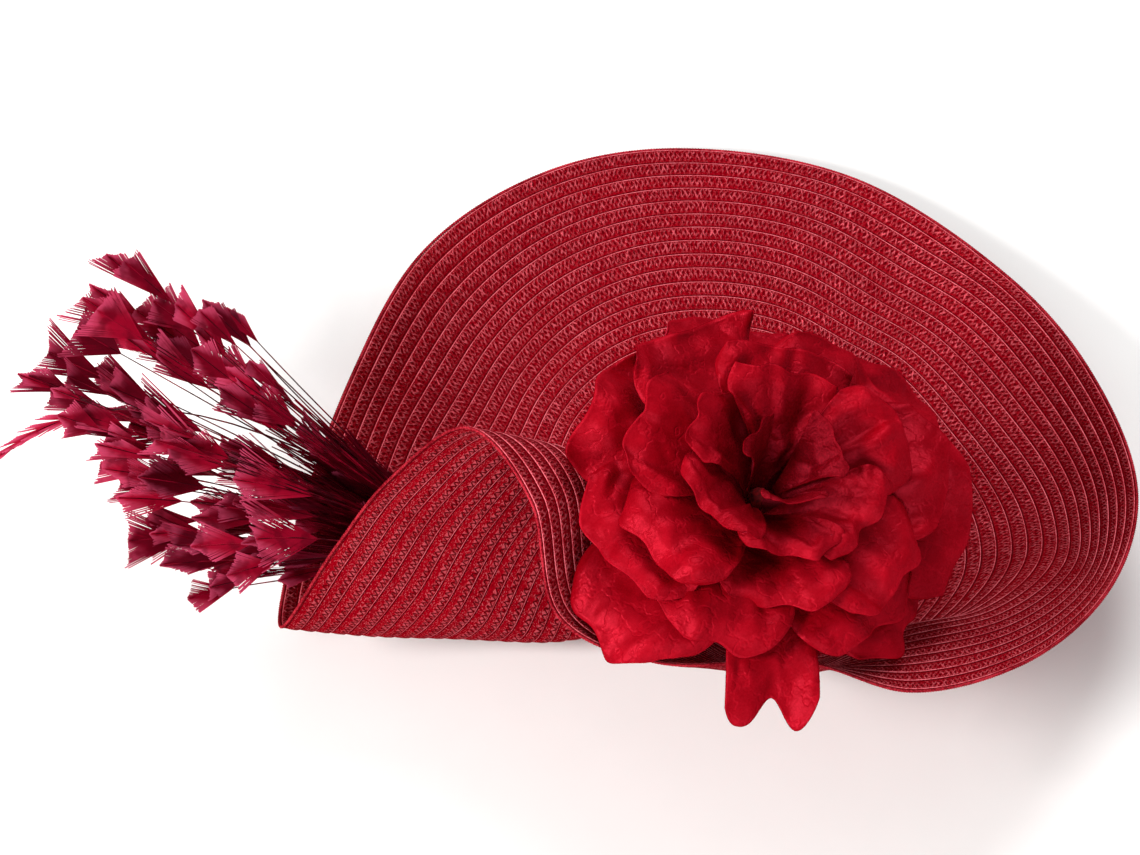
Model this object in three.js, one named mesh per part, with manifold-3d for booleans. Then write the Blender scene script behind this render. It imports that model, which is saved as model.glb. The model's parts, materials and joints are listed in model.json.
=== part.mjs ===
// Fascinator: a folded disc of sewn straw braid with a large fabric flower and a feather plume.
import * as THREE from 'three';
import { mergeVertices } from 'three/addons/utils/BufferGeometryUtils.js';
import Module from 'manifold-3d';

const wasm = await Module();
wasm.setup();

// Hat frame, in millimetres: X to the right, Y up the tall side, Z out of the open side.
// The middle of the braid disc is its origin. The last step lays the hat down as it rests.

// Brim disc
const discRadius = 205;
const brimThickness = 1.8;
const brimSpokes = 70;
const brimRings = 12;
const seatGap = 0.3;

// The flat disc is bent by its spokes. Each row is one spoke: its angle on the flat disc, and where
// it passes at 40 % and 72 % of its length and at the rim.
const innerStation = 0.4;
const outerStation = 0.72;
const spokes = [
  { angle: 10, inner: [70, 0, -23], outer: [132, 12, -29], rim: [168, 17, 13] },
  { angle: 33, inner: [65, 32, -38], outer: [119, 54, -50], rim: [151, 69, -29] },
  { angle: 55, inner: [45, 59, -50], outer: [89, 101, -82], rim: [115, 113, -75] },
  { angle: 77, inner: [16, 68, -53], outer: [32, 124, -90], rim: [52, 154, -112] },
  { angle: 100, inner: [-16, 68, -53], outer: [-24, 126, -90], rim: [-24, 167, -122] },
  { angle: 122, inner: [-43, 59, -48], outer: [-71, 109, -84], rim: [-85, 155, -111] },
  { angle: 143, inner: [-64, 45, -44], outer: [-108, 86, -76], rim: [-134, 121, -82] },
  { angle: 163, inner: [-78, 25, -36], outer: [-131, 50, -46], rim: [-163, 68, -29] },
  { angle: 182, inner: [-85, -4, -23], outer: [-140, 0, -8], rim: [-183, 10, 19] },
  { angle: 200, inner: [-81, -34, -4], outer: [-139, -40, 29], rim: [-190, -36, 63] },
  { angle: 214, inner: [-68, -41, 22], outer: [-122, -28, 62], rim: [-168, -4, 92] },
  { angle: 228, inner: [-58, -19, 40], outer: [-100, 4, 82], rim: [-144, 26, 116] },
  { angle: 242, inner: [-41, 10, 50], outer: [-75, 36, 103], rim: [-112, 47, 138] },
  { angle: 256, inner: [-27, 10, 48], outer: [-54, 25, 108], rim: [-86, 17, 148] },
  { angle: 270, inner: [-24, -17, 45], outer: [-45, -19, 105], rim: [-75, -30, 151] },
  { angle: 284, inner: [-12, -38, 42], outer: [-20, -46, 98], rim: [-35, -49, 149] },
  { angle: 300, inner: [9, -49, 38], outer: [24, -55, 88], rim: [24, -49, 138] },
  { angle: 316, inner: [34, -50, 33], outer: [67, -37, 78], rim: [70, -61, 127] },
  { angle: 332, inner: [54, -42, 19], outer: [104, -30, 54], rim: [115, -51, 101] },
  { angle: 350, inner: [64, -23, -2], outer: [132, -11, 6], rim: [152, -24, 53] },
];

// Every spoke leaves the middle in one plane, which leans back by this angle.
const middleLean = 37;
const middleSpeed = 0.9;
const spokeSamples = 60;

// Places on the disc are found from spokes cut into this many pieces, and their normals from this
// share of a spoke and this angle to each side
const placePieces = 100;
const placeStep = 0.02;
const placeTurn = 2;

// Rim wire
const wireRadius = 0.9;
const wireSides = 4;

// Hair comb, sewn flat under the disc behind its middle
const combAngle = 90;
const combDistance = 0.2;
const combWidth = 62;
const combSpine = 9;
const combTooth = 24;
const combTeeth = 9;
const combToothWidth = 3;
const combThickness = 2;
const combToothTaper = 0.2;

// Flower: the root of its petals and the way it faces. It stands on a wrapped stem in the valley.
const flowerRoot = [4, 13, 114];
const flowerFacing = [0.35, 0.45, 0.82];
const flowerBaseRadius = 12;
const stemFoot = { angle: 284, station: 0.42, clear: 0.2 };
const stemRadius = 6;
const stemSides = 16;
const footShare = 0.2;
const footRounding = 0.85;
const stemSteps = 8;
const petalThickness = 1;
const petalAcross = 7;
const petalAlong = 6;
const buttonRadius = 5;
const buttonFlattening = 0.8;
const buttonClear = 1.2;
const ballSides = 10;
const ballRings = 6;

// Layers of petals, outermost first. Each is a bowl: heights at the root, halfway and at the tip,
// the reach where the tip height holds, and the step between neighbours of one layer.
const layers = [
  { root: 0.8, half: 6, tip: -4, reach: 96, step: 5.5, rootRadius: 4 },
  { root: 2.4, half: 15, tip: 12, reach: 86, step: 5.5, rootRadius: 4 },
  { root: 4, half: 24, tip: 29, reach: 70, step: 5.5, rootRadius: 4 },
  { root: 5.6, half: 32, tip: 44, reach: 46, step: 5, rootRadius: 4 },
  { root: 11.6, half: 38, tip: 50, reach: 22, step: 4, rootRadius: 6.5 },
];

// Near its root each petal keeps to its own slice, so neighbours lie side by side. The slice opens
// towards the tip.
const rootSlice = 17;
const sliceOpens = 150;
const slicePower = 1.6;
const spiralStart = 0.25;
const narrowShare = 0.6;

// Outline of every petal: width at the root as a share, the part of a sine wave that its width
// follows, how far its corners are drawn in, how narrow its notch is, and where its tip curls
const rootWidth = 0.1;
const widthStart = 0.03;
const widthSpan = 0.66;
const widthPower = 0.85;
const cornerRounding = 0.16;
const notchSharpness = 9;
const curlStart = 0.6;

// Petals: layer, direction, reach, half width, curl of the tip, lift of the whole petal towards
// its tip, and depth of the tip's notch
const petals = [
  { name: 'petal_outer_right_low', layer: 0, turn: -43, reach: 86, half: 30, curl: 2, lift: 3, notch: 4 },
  { name: 'petal_outer_right_up', layer: 0, turn: 31, reach: 103, half: 36, curl: 5, lift: 0, notch: -8 },
  { name: 'petal_outer_top', layer: 0, turn: 90, reach: 93, half: 36, curl: 6, lift: 0, notch: 3 },
  { name: 'petal_outer_left_up', layer: 0, turn: 142, reach: 85, half: 34, curl: 6, lift: 0, notch: 5 },
  { name: 'petal_outer_left_low', layer: 0, turn: 216, reach: 96, half: 34, curl: -5, lift: 0, notch: 3 },
  { name: 'petal_outer_bottom', layer: 0, turn: 264, reach: 100, half: 26, curl: 0, lift: 3, notch: 12 },
  { name: 'petal_second_right', layer: 1, turn: -6, reach: 97, half: 38, curl: 2, lift: 0, notch: 3 },
  { name: 'petal_second_right_up', layer: 1, turn: 46, reach: 86, half: 36, curl: 5, lift: 0, notch: 5 },
  { name: 'petal_second_top', layer: 1, turn: 108, reach: 80, half: 34, curl: 8, lift: 0, notch: 2 },
  { name: 'petal_second_left', layer: 1, turn: 195, reach: 82, half: 34, curl: 3, lift: 0, notch: 6 },
  { name: 'petal_second_left_low', layer: 1, turn: 240, reach: 79, half: 30, curl: -3, lift: 0, notch: 3 },
  { name: 'petal_second_right_low', layer: 1, turn: 305, reach: 78, half: 36, curl: -1, lift: 0, notch: 5 },
  { name: 'petal_third_right', layer: 2, turn: 5, reach: 80, half: 32, curl: 3, lift: 0, notch: 4 },
  { name: 'petal_third_top', layer: 2, turn: 75, reach: 64, half: 32, curl: 5, lift: 0, notch: 6 },
  { name: 'petal_third_left', layer: 2, turn: 153, reach: 66, half: 30, curl: 4, lift: 0, notch: 3 },
  { name: 'petal_third_left_low', layer: 2, turn: 203, reach: 72, half: 30, curl: -2, lift: 0, notch: 4 },
  { name: 'petal_third_front', layer: 2, turn: 265, reach: 60, half: 29, curl: -4, lift: 0, notch: 5 },
  { name: 'petal_third_right_low', layer: 2, turn: 317, reach: 71, half: 30, curl: -1, lift: 0, notch: 3 },
  { name: 'petal_fourth_right', layer: 3, turn: 16, reach: 56, half: 24, curl: 2, lift: 0, notch: 3 },
  { name: 'petal_fourth_top', layer: 3, turn: 80, reach: 44, half: 26, curl: 4, lift: 0, notch: 4 },
  { name: 'petal_fourth_left', layer: 3, turn: 138, reach: 40, half: 20, curl: 2, lift: 0, notch: -4 },
  { name: 'petal_fourth_left_low', layer: 3, turn: 203, reach: 44, half: 24, curl: 0, lift: 0, notch: 4 },
  { name: 'petal_fourth_front', layer: 3, turn: 264, reach: 42, half: 24, curl: -3, lift: 0, notch: 3 },
  { name: 'petal_fourth_right_low', layer: 3, turn: 320, reach: 45, half: 24, curl: -2, lift: 0, notch: 4 },
  { name: 'petal_heart_right', layer: 4, turn: 20, reach: 22, half: 15, curl: 1, lift: 0, notch: 2 },
  { name: 'petal_heart_left', layer: 4, turn: 140, reach: 20, half: 14, curl: 2, lift: 0, notch: 2 },
  { name: 'petal_heart_front', layer: 4, turn: 260, reach: 21, half: 14, curl: 0, lift: 0, notch: 2 },
];

// Slow waves that bend all petals together: height of the wave at the flower's edge, how many
// waves go round, and where they start.
const ruffles = [
  { height: 5, waves: 3, start: 20 },
  { height: 4, waves: 5, start: 75 },
  { height: 2.5, waves: 8, start: 10 },
];
const ruffleReach = 95;

// Plume: it leaves the valley beside the disc's middle. Tips and bends are in the hat frame.
const plumeHead = { angle: 192, station: 0.48, length: 20, radius: 5, clear: 1 };
const lockThickness = 1.3;
const lockRoot = 2;
const lockSpread = 4.5;
const lockSteps = 4;
const lockFacing = [0, 0.5, 1];

// Fan of a lock: shares of its length and of its spread
const fan = [
  { along: 0.35, half: 0.3 },
  { along: 0.85, half: 0.55 },
  { along: 1, half: 0.2 },
];

// Locks: tip, point towards which the lock first runs, length of its fan, and spread of its fan
const locks = [
  { tip: [-264, 119, 40], bend: [-196, 62, 24], fan: 22, spread: 15 },
  { tip: [-273, 101, 62], bend: [-200, 50, 38], fan: 26, spread: 16 },
  { tip: [-252, 96, 34], bend: [-190, 52, 30], fan: 20, spread: 13 },
  { tip: [-224, 100, 30], bend: [-176, 50, 26], fan: 20, spread: 13 },
  { tip: [-234, 98, 74], bend: [-178, 44, 44], fan: 18, spread: 12 },
  { tip: [-288, 78, 44], bend: [-208, 44, 36], fan: 20, spread: 12 },
  { tip: [-299, 69, 80], bend: [-214, 36, 52], fan: 16, spread: 10 },
  { tip: [-308, 36, 60], bend: [-256, 64, 46], fan: 40, spread: 8 },
  { tip: [-262, 64, 56], bend: [-186, 32, 42], fan: 28, spread: 17 },
  { tip: [-276, 52, 66], bend: [-200, 30, 50], fan: 24, spread: 15 },
  { tip: [-246, 50, 88], bend: [-176, 26, 56], fan: 24, spread: 16 },
  { tip: [-266, 32, 48], bend: [-190, 22, 44], fan: 26, spread: 17 },
  { tip: [-258, 18, 82], bend: [-184, 14, 56], fan: 28, spread: 17 },
  { tip: [-254, 0, 58], bend: [-182, 8, 50], fan: 24, spread: 15 },
  { tip: [-240, -10, 78], bend: [-174, 0, 58], fan: 22, spread: 14 },
  { tip: [-229, -24, 64], bend: [-172, -6, 56], fan: 18, spread: 12 },
  { tip: [-212, -14, 88], bend: [-164, 0, 62], fan: 24, spread: 14 },
  { tip: [-216, 72, 50], bend: [-166, 36, 40], fan: 24, spread: 15 },
  { tip: [-216, 40, 40], bend: [-166, 24, 40], fan: 26, spread: 17 },
  { tip: [-210, 16, 62], bend: [-160, 12, 50], fan: 28, spread: 18 },
];

// How the hat lies: it is leaned back until it rests on the floor by itself.
const restLean = 58;

const radians = (degrees) => THREE.MathUtils.degToRad(degrees);

const vector = (list) => new THREE.Vector3(list[0], list[1], list[2]);

// Cubic between two points with a slope at each, x from 0 to 1 over the length h
function cubic(a, slopeA, b, slopeB, h, x) {
  const x2 = x * x;
  const x3 = x2 * x;
  const point = a.clone().multiplyScalar(2 * x3 - 3 * x2 + 1);
  point.addScaledVector(slopeA, (x3 - 2 * x2 + x) * h);
  point.addScaledVector(b, 3 * x2 - 2 * x3);
  point.addScaledVector(slopeB, (x3 - x2) * h);
  return point;
}

// Slope at a middle point from its two neighbours
function slopeBetween(a, b, c, h0, h1) {
  const before = b.clone().sub(a).divideScalar(h0);
  const after = c.clone().sub(b).divideScalar(h1);
  return before.multiplyScalar(h1).addScaledVector(after, h0).divideScalar(h0 + h1);
}

// One column of the spoke table at any angle round the disc
function around(column, degrees) {
  const count = spokes.length;
  const turned = ((degrees - spokes[0].angle) % 360 + 360) % 360 + spokes[0].angle;
  let i = 0;
  while (i < count - 1 && spokes[i + 1].angle <= turned) {
    i += 1;
  }
  const row = (k) => {
    const spoke = spokes[(k + count) % count];
    const turns = Math.floor(k / count);
    return { angle: spoke.angle + 360 * turns, at: vector(spoke[column]) };
  };
  const p0 = row(i - 1);
  const p1 = row(i);
  const p2 = row(i + 1);
  const p3 = row(i + 2);
  const h = p2.angle - p1.angle;
  const slope1 = slopeBetween(p0.at, p1.at, p2.at, p1.angle - p0.angle, h);
  const slope2 = slopeBetween(p1.at, p2.at, p3.at, h, p3.angle - p2.angle);
  return cubic(p1.at, slope1, p2.at, slope2, h, (turned - p1.angle) / h);
}

// Unit vectors of the plane at the middle of the disc
const middleRight = new THREE.Vector3(1, 0, 0);
const middleUp = new THREE.Vector3(0, Math.cos(radians(middleLean)), -Math.sin(radians(middleLean)));
const middleOut = new THREE.Vector3().crossVectors(middleRight, middleUp);

// A whole spoke as points evenly spaced along its length, from the middle to the rim
function spokeCurve(degrees, pieces) {
  const start = new THREE.Vector3();
  const inner = around('inner', degrees);
  const outer = around('outer', degrees);
  const rim = around('rim', degrees);
  const gaps = [innerStation, outerStation - innerStation, 1 - outerStation];
  const leave = middleRight.clone().multiplyScalar(Math.cos(radians(degrees)));
  leave.addScaledVector(middleUp, Math.sin(radians(degrees))).multiplyScalar(discRadius * middleSpeed);
  const slopeInner = slopeBetween(start, inner, outer, gaps[0], gaps[1]);
  const slopeOuter = slopeBetween(inner, outer, rim, gaps[1], gaps[2]);
  const slopeRim = rim.clone().sub(outer).multiplyScalar(1.5 / gaps[2]).addScaledVector(slopeOuter, -0.5);
  const fine = [];
  for (let n = 0; n <= spokeSamples; n += 1) {
    const s = n / spokeSamples;
    if (s < innerStation) {
      fine.push(cubic(start, leave, inner, slopeInner, gaps[0], s / gaps[0]));
    } else if (s < outerStation) {
      fine.push(cubic(inner, slopeInner, outer, slopeOuter, gaps[1], (s - innerStation) / gaps[1]));
    } else {
      fine.push(cubic(outer, slopeOuter, rim, slopeRim, gaps[2], (s - outerStation) / gaps[2]));
    }
  }
  const lengths = [0];
  for (let n = 1; n <= spokeSamples; n += 1) {
    lengths.push(lengths[n - 1] + fine[n].distanceTo(fine[n - 1]));
  }
  const points = [];
  let n = 1;
  for (let k = 0; k <= pieces; k += 1) {
    const want = (lengths[spokeSamples] * k) / pieces;
    while (n < spokeSamples && lengths[n] < want) {
      n += 1;
    }
    const share = (want - lengths[n - 1]) / (lengths[n] - lengths[n - 1]);
    points.push(fine[n - 1].clone().lerp(fine[n], share));
  }
  return points;
}

// Point and normal of the braid disc at an angle and a share of the spoke
function brimPlace(degrees, share) {
  const at = (d, s) => {
    const spoke = spokeCurve(d, placePieces);
    const k = Math.min(placePieces - 1, Math.floor(s * placePieces));
    return spoke[k].clone().lerp(spoke[k + 1], s * placePieces - k);
  };
  const point = at(degrees, share);
  const along = at(degrees, share + placeStep).sub(at(degrees, share - placeStep));
  const across = at(degrees + placeTurn, share).sub(at(degrees - placeTurn, share));
  const normal = new THREE.Vector3().crossVectors(along, across).normalize();
  return { point, normal, along: along.normalize() };
}

// Closed body from a list of points and a list of triangles
function body(points, triangles) {
  const geometry = new THREE.BufferGeometry();
  const positions = [];
  for (const p of points) {
    positions.push(p.x, p.y, p.z);
  }
  let volume = 0;
  for (const [a, b, c] of triangles) {
    volume += points[a].dot(new THREE.Vector3().crossVectors(points[b], points[c]));
  }
  const index = [];
  for (const [a, b, c] of triangles) {
    if (volume > 0) {
      index.push(a, b, c);
    } else {
      index.push(a, c, b);
    }
  }
  geometry.setAttribute('position', new THREE.Float32BufferAttribute(positions, 3));
  geometry.setIndex(index);
  geometry.computeVertexNormals();
  return geometry;
}

// Wall of even thickness around a grid of points, rows along and columns across
function sheet(grid, thickness) {
  const rows = grid.length;
  const columns = grid[0].length;
  const points = [];
  const id = (side, r, c) => side * rows * columns + r * columns + c;
  for (const side of [0.5, -0.5]) {
    for (let r = 0; r < rows; r += 1) {
      for (let c = 0; c < columns; c += 1) {
        const along = grid[Math.min(r + 1, rows - 1)][c].clone().sub(grid[Math.max(r - 1, 0)][c]);
        const across = grid[r][Math.min(c + 1, columns - 1)].clone().sub(grid[r][Math.max(c - 1, 0)]);
        const normal = new THREE.Vector3().crossVectors(along, across).normalize();
        points.push(grid[r][c].clone().addScaledVector(normal, side * thickness));
      }
    }
  }
  const triangles = [];
  const quad = (a, b, c, d) => {
    triangles.push([a, b, c], [a, c, d]);
  };
  for (let r = 0; r < rows - 1; r += 1) {
    for (let c = 0; c < columns - 1; c += 1) {
      quad(id(0, r, c), id(0, r + 1, c), id(0, r + 1, c + 1), id(0, r, c + 1));
      quad(id(1, r, c), id(1, r, c + 1), id(1, r + 1, c + 1), id(1, r + 1, c));
    }
    quad(id(0, r, 0), id(1, r, 0), id(1, r + 1, 0), id(0, r + 1, 0));
    const last = columns - 1;
    quad(id(0, r, last), id(0, r + 1, last), id(1, r + 1, last), id(1, r, last));
  }
  for (let c = 0; c < columns - 1; c += 1) {
    quad(id(0, 0, c), id(0, 0, c + 1), id(1, 0, c + 1), id(1, 0, c));
    const last = rows - 1;
    quad(id(0, last, c), id(1, last, c), id(1, last, c + 1), id(0, last, c + 1));
  }
  return body(points, triangles);
}

// Braid disc: a wall around the bent spokes
function brimGeometry() {
  const grid = [];
  for (let i = 0; i < brimSpokes; i += 1) {
    grid.push(spokeCurve((360 * i) / brimSpokes, brimRings));
  }
  const spoke = (i) => grid[(i + brimSpokes) % brimSpokes];
  const points = [];
  const id = (side, i, k) => {
    const first = side * (1 + brimSpokes * brimRings);
    return k === 0 ? first : first + (i % brimSpokes) * brimRings + k;
  };
  for (const side of [0.5, -0.5]) {
    points.push(middleOut.clone().multiplyScalar(side * brimThickness));
    for (let i = 0; i < brimSpokes; i += 1) {
      for (let k = 1; k <= brimRings; k += 1) {
        const along = spoke(i)[Math.min(k + 1, brimRings)].clone().sub(spoke(i)[k - 1]);
        const across = spoke(i + 1)[k].clone().sub(spoke(i - 1)[k]);
        const normal = new THREE.Vector3().crossVectors(along, across).normalize();
        points.push(spoke(i)[k].clone().addScaledVector(normal, side * brimThickness));
      }
    }
  }
  const triangles = [];
  for (let i = 0; i < brimSpokes; i += 1) {
    triangles.push([id(0, i, 0), id(0, i, 1), id(0, i + 1, 1)]);
    triangles.push([id(1, i, 0), id(1, i + 1, 1), id(1, i, 1)]);
    for (let k = 1; k < brimRings; k += 1) {
      triangles.push([id(0, i, k), id(0, i, k + 1), id(0, i + 1, k + 1)]);
      triangles.push([id(0, i, k), id(0, i + 1, k + 1), id(0, i + 1, k)]);
      triangles.push([id(1, i, k), id(1, i + 1, k + 1), id(1, i, k + 1)]);
      triangles.push([id(1, i, k), id(1, i + 1, k), id(1, i + 1, k + 1)]);
    }
    triangles.push([id(0, i, brimRings), id(1, i, brimRings), id(1, i + 1, brimRings)]);
    triangles.push([id(0, i, brimRings), id(1, i + 1, brimRings), id(0, i + 1, brimRings)]);
  }
  return body(points, triangles);
}

// Rim wire: a closed round tube just outside the edge of the disc
function wireGeometry() {
  const points = [];
  const triangles = [];
  for (let i = 0; i < brimSpokes; i += 1) {
    const degrees = (360 * i) / brimSpokes;
    const spoke = spokeCurve(degrees, brimRings);
    const before = spokeCurve(degrees - 360 / brimSpokes, brimRings)[brimRings];
    const after = spokeCurve(degrees + 360 / brimSpokes, brimRings)[brimRings];
    const outward = spoke[brimRings].clone().sub(spoke[brimRings - 1]).normalize();
    const forward = after.sub(before).normalize();
    outward.addScaledVector(forward, -outward.dot(forward)).normalize();
    const side = new THREE.Vector3().crossVectors(outward, forward);
    const centre = spoke[brimRings].clone().addScaledVector(outward, wireRadius + seatGap);
    for (let j = 0; j < wireSides; j += 1) {
      const turn = (2 * Math.PI * (j + 0.5)) / wireSides;
      const p = centre.clone().addScaledVector(outward, wireRadius * Math.cos(turn));
      points.push(p.addScaledVector(side, wireRadius * Math.sin(turn)));
      const a = i * wireSides + j;
      const b = i * wireSides + ((j + 1) % wireSides);
      const c = ((i + 1) % brimSpokes) * wireSides + ((j + 1) % wireSides);
      const d = ((i + 1) % brimSpokes) * wireSides + j;
      triangles.push([a, b, c], [a, c, d]);
    }
  }
  return body(points, triangles);
}

// Frame of the flower: Z along the way it faces, Y up the hat
const flowerOut = vector(flowerFacing).normalize();
const flowerRight = new THREE.Vector3().crossVectors(new THREE.Vector3(0, 1, 0), flowerOut).normalize();
const flowerUp = new THREE.Vector3().crossVectors(flowerOut, flowerRight);
const flowerFrame = new THREE.Matrix4().makeBasis(flowerRight, flowerUp, flowerOut);
flowerFrame.setPosition(vector(flowerRoot));

// Shared ruffle of the flower
function ruffled(x, y, z) {
  const radius = Math.hypot(x, y);
  const turn = Math.atan2(y, x);
  const share = Math.min(1.1, radius / ruffleReach);
  let lift = 0;
  for (const wave of ruffles) {
    lift += wave.height * share * share * Math.sin(wave.waves * turn + radians(wave.start));
  }
  return new THREE.Vector3(x, y, z + lift);
}

// One petal, cut from its layer's bowl
function petalGeometry(petal) {
  const layer = layers[petal.layer];
  const grid = [];
  for (let r = 0; r <= petalAlong; r += 1) {
    const t = r / petalAlong;
    const row = [];
    for (let c = 0; c <= petalAcross; c += 1) {
      const v = (2 * c) / petalAcross - 1;
      const roundOff = 1 - cornerRounding * v * v * t * t;
      const dip = (petal.notch / petal.reach) * Math.pow(t, 4) * Math.exp(-notchSharpness * v * v);
      const x = layer.rootRadius + (petal.reach - layer.rootRadius) * t * (roundOff - dip);
      const wave = Math.sin(Math.PI * (widthStart + widthSpan * Math.pow(t, widthPower)));
      const y = v * petal.half * (rootWidth + (1 - rootWidth) * wave);
      const radius = Math.hypot(x, y * THREE.MathUtils.smoothstep(t, 0, narrowShare));
      const share = (radius - layer.rootRadius) / (layer.reach - layer.rootRadius);
      const rise = layer.root + (4 * layer.half - 3 * layer.root - layer.tip) * share
        + (2 * layer.root + 2 * layer.tip - 4 * layer.half) * share * share;
      const limit = radians(rootSlice + sliceOpens * Math.pow(t, slicePower));
      const swing = limit * Math.tanh(Math.atan2(y, x) / limit);
      const spiral = (layer.step * swing * Math.min(1, share / spiralStart)) / radians(60);
      const curl = petal.curl * Math.pow(Math.max(0, (t - curlStart) / (1 - curlStart)), 2);
      const turn = swing + radians(petal.turn);
      const height = rise + spiral + curl + petal.lift * t;
      row.push(ruffled(radius * Math.cos(turn), radius * Math.sin(turn), height));
    }
    grid.push(row);
  }
  return sheet(grid, petalThickness).applyMatrix4(flowerFrame);
}

// Wrapped stem: a round cup under the petals that narrows and bends down to the disc
function flowerBaseGeometry() {
  const foot = brimPlace(stemFoot.angle, stemFoot.station);
  const end = foot.point.clone().addScaledVector(foot.normal, brimThickness / 2 + seatGap + stemFoot.clear);
  const start = vector(flowerRoot);
  const reach = start.distanceTo(end) * 0.4;
  const curve = new THREE.CubicBezierCurve3(
    start,
    start.clone().addScaledVector(flowerOut, -reach),
    end.clone().addScaledVector(foot.normal, reach),
    end,
  );
  const points = [];
  const triangles = [];
  const across = new THREE.Vector3(1, 0, 0);
  for (let k = 0; k <= stemSteps; k += 1) {
    const t = k / stemSteps;
    const ahead = curve.getTangent(t);
    const right = across.clone().addScaledVector(ahead, -across.dot(ahead)).normalize();
    const up = new THREE.Vector3().crossVectors(ahead, right);
    const near = Math.max(0, 1 - (1 - t) / footShare);
    const rounding = Math.sqrt(1 - footRounding * near * near);
    const radius = rounding * (stemRadius + (flowerBaseRadius - stemRadius) * Math.pow(1 - t, 3));
    for (let j = 0; j < stemSides; j += 1) {
      const turn = (2 * Math.PI * j) / stemSides;
      const p = curve.getPoint(t).addScaledVector(right, radius * Math.cos(turn));
      points.push(p.addScaledVector(up, radius * Math.sin(turn)));
      if (k < stemSteps) {
        const a = k * stemSides + j;
        const b = k * stemSides + ((j + 1) % stemSides);
        triangles.push([a, b, b + stemSides], [a, b + stemSides, a + stemSides]);
      }
    }
  }
  const first = points.push(start) - 1;
  const last = points.push(end) - 1;
  for (let j = 0; j < stemSides; j += 1) {
    const next = (j + 1) % stemSides;
    triangles.push([first, next, j], [last, stemSteps * stemSides + j, stemSteps * stemSides + next]);
  }
  return body(points, triangles);
}

function buttonGeometry() {
  const geometry = new THREE.SphereGeometry(buttonRadius, ballSides, ballRings);
  geometry.scale(1, 1, buttonFlattening);
  geometry.translate(0, 0, layers[3].root + buttonClear + buttonRadius * buttonFlattening);
  return geometry.applyMatrix4(flowerFrame);
}

// Manifold from a geometry and back
function toManifold(geometry) {
  const plain = geometry.clone();
  plain.deleteAttribute('normal');
  plain.deleteAttribute('uv');
  const merged = mergeVertices(plain, 1e-4);
  const mesh = new wasm.Mesh({
    numProp: 3,
    vertProperties: new Float32Array(merged.attributes.position.array),
    triVerts: new Uint32Array(merged.index.array),
  });
  return new wasm.Manifold(mesh);
}

function fromManifold(solid) {
  const mesh = solid.getMesh();
  const geometry = new THREE.BufferGeometry();
  geometry.setAttribute('position', new THREE.Float32BufferAttribute(mesh.vertProperties, 3));
  geometry.setIndex(new THREE.Uint32BufferAttribute(mesh.triVerts, 1));
  geometry.computeVertexNormals();
  return geometry;
}

// One lock of the plume: a stripped stem that ends in a flat fan
function lockGeometry(lock, root) {
  const bend = vector(lock.bend);
  const tip = vector(lock.tip);
  const curve = new THREE.QuadraticBezierCurve3(root, bend, tip);
  const fanStart = 1 - lock.fan / curve.getLength();
  const stations = [];
  for (let k = 0; k < lockSteps; k += 1) {
    const share = k / (lockSteps - 1);
    stations.push({ t: fanStart * share, half: (lockRoot + (lockSpread - lockRoot) * share) / 2 });
  }
  for (const step of fan) {
    stations.push({ t: fanStart + (1 - fanStart) * step.along, half: lock.spread * step.half });
  }
  const facing = vector(lockFacing).normalize();
  const grid = [];
  for (const station of stations) {
    const centre = curve.getPoint(station.t);
    const across = new THREE.Vector3().crossVectors(curve.getTangent(station.t), facing).normalize();
    grid.push([
      centre.clone().addScaledVector(across, -station.half),
      centre.clone().addScaledVector(across, station.half),
    ]);
  }
  return sheet(grid, lockThickness);
}

function plumeGeometry() {
  const spot = brimPlace(plumeHead.angle, plumeHead.station);
  const lift = brimThickness / 2 + seatGap + plumeHead.radius + plumeHead.clear;
  const centre = spot.point.clone().addScaledVector(spot.normal, lift);
  const head = new THREE.SphereGeometry(plumeHead.radius, ballSides, ballRings);
  head.scale(1, plumeHead.length / (2 * plumeHead.radius), 1);
  const turn = new THREE.Quaternion().setFromUnitVectors(new THREE.Vector3(0, 1, 0), spot.along);
  head.applyQuaternion(turn);
  head.translate(centre.x, centre.y, centre.z);
  let solid = toManifold(head);
  for (const lock of locks) {
    solid = solid.add(toManifold(lockGeometry(lock, centre)));
  }
  return fromManifold(solid);
}

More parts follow.
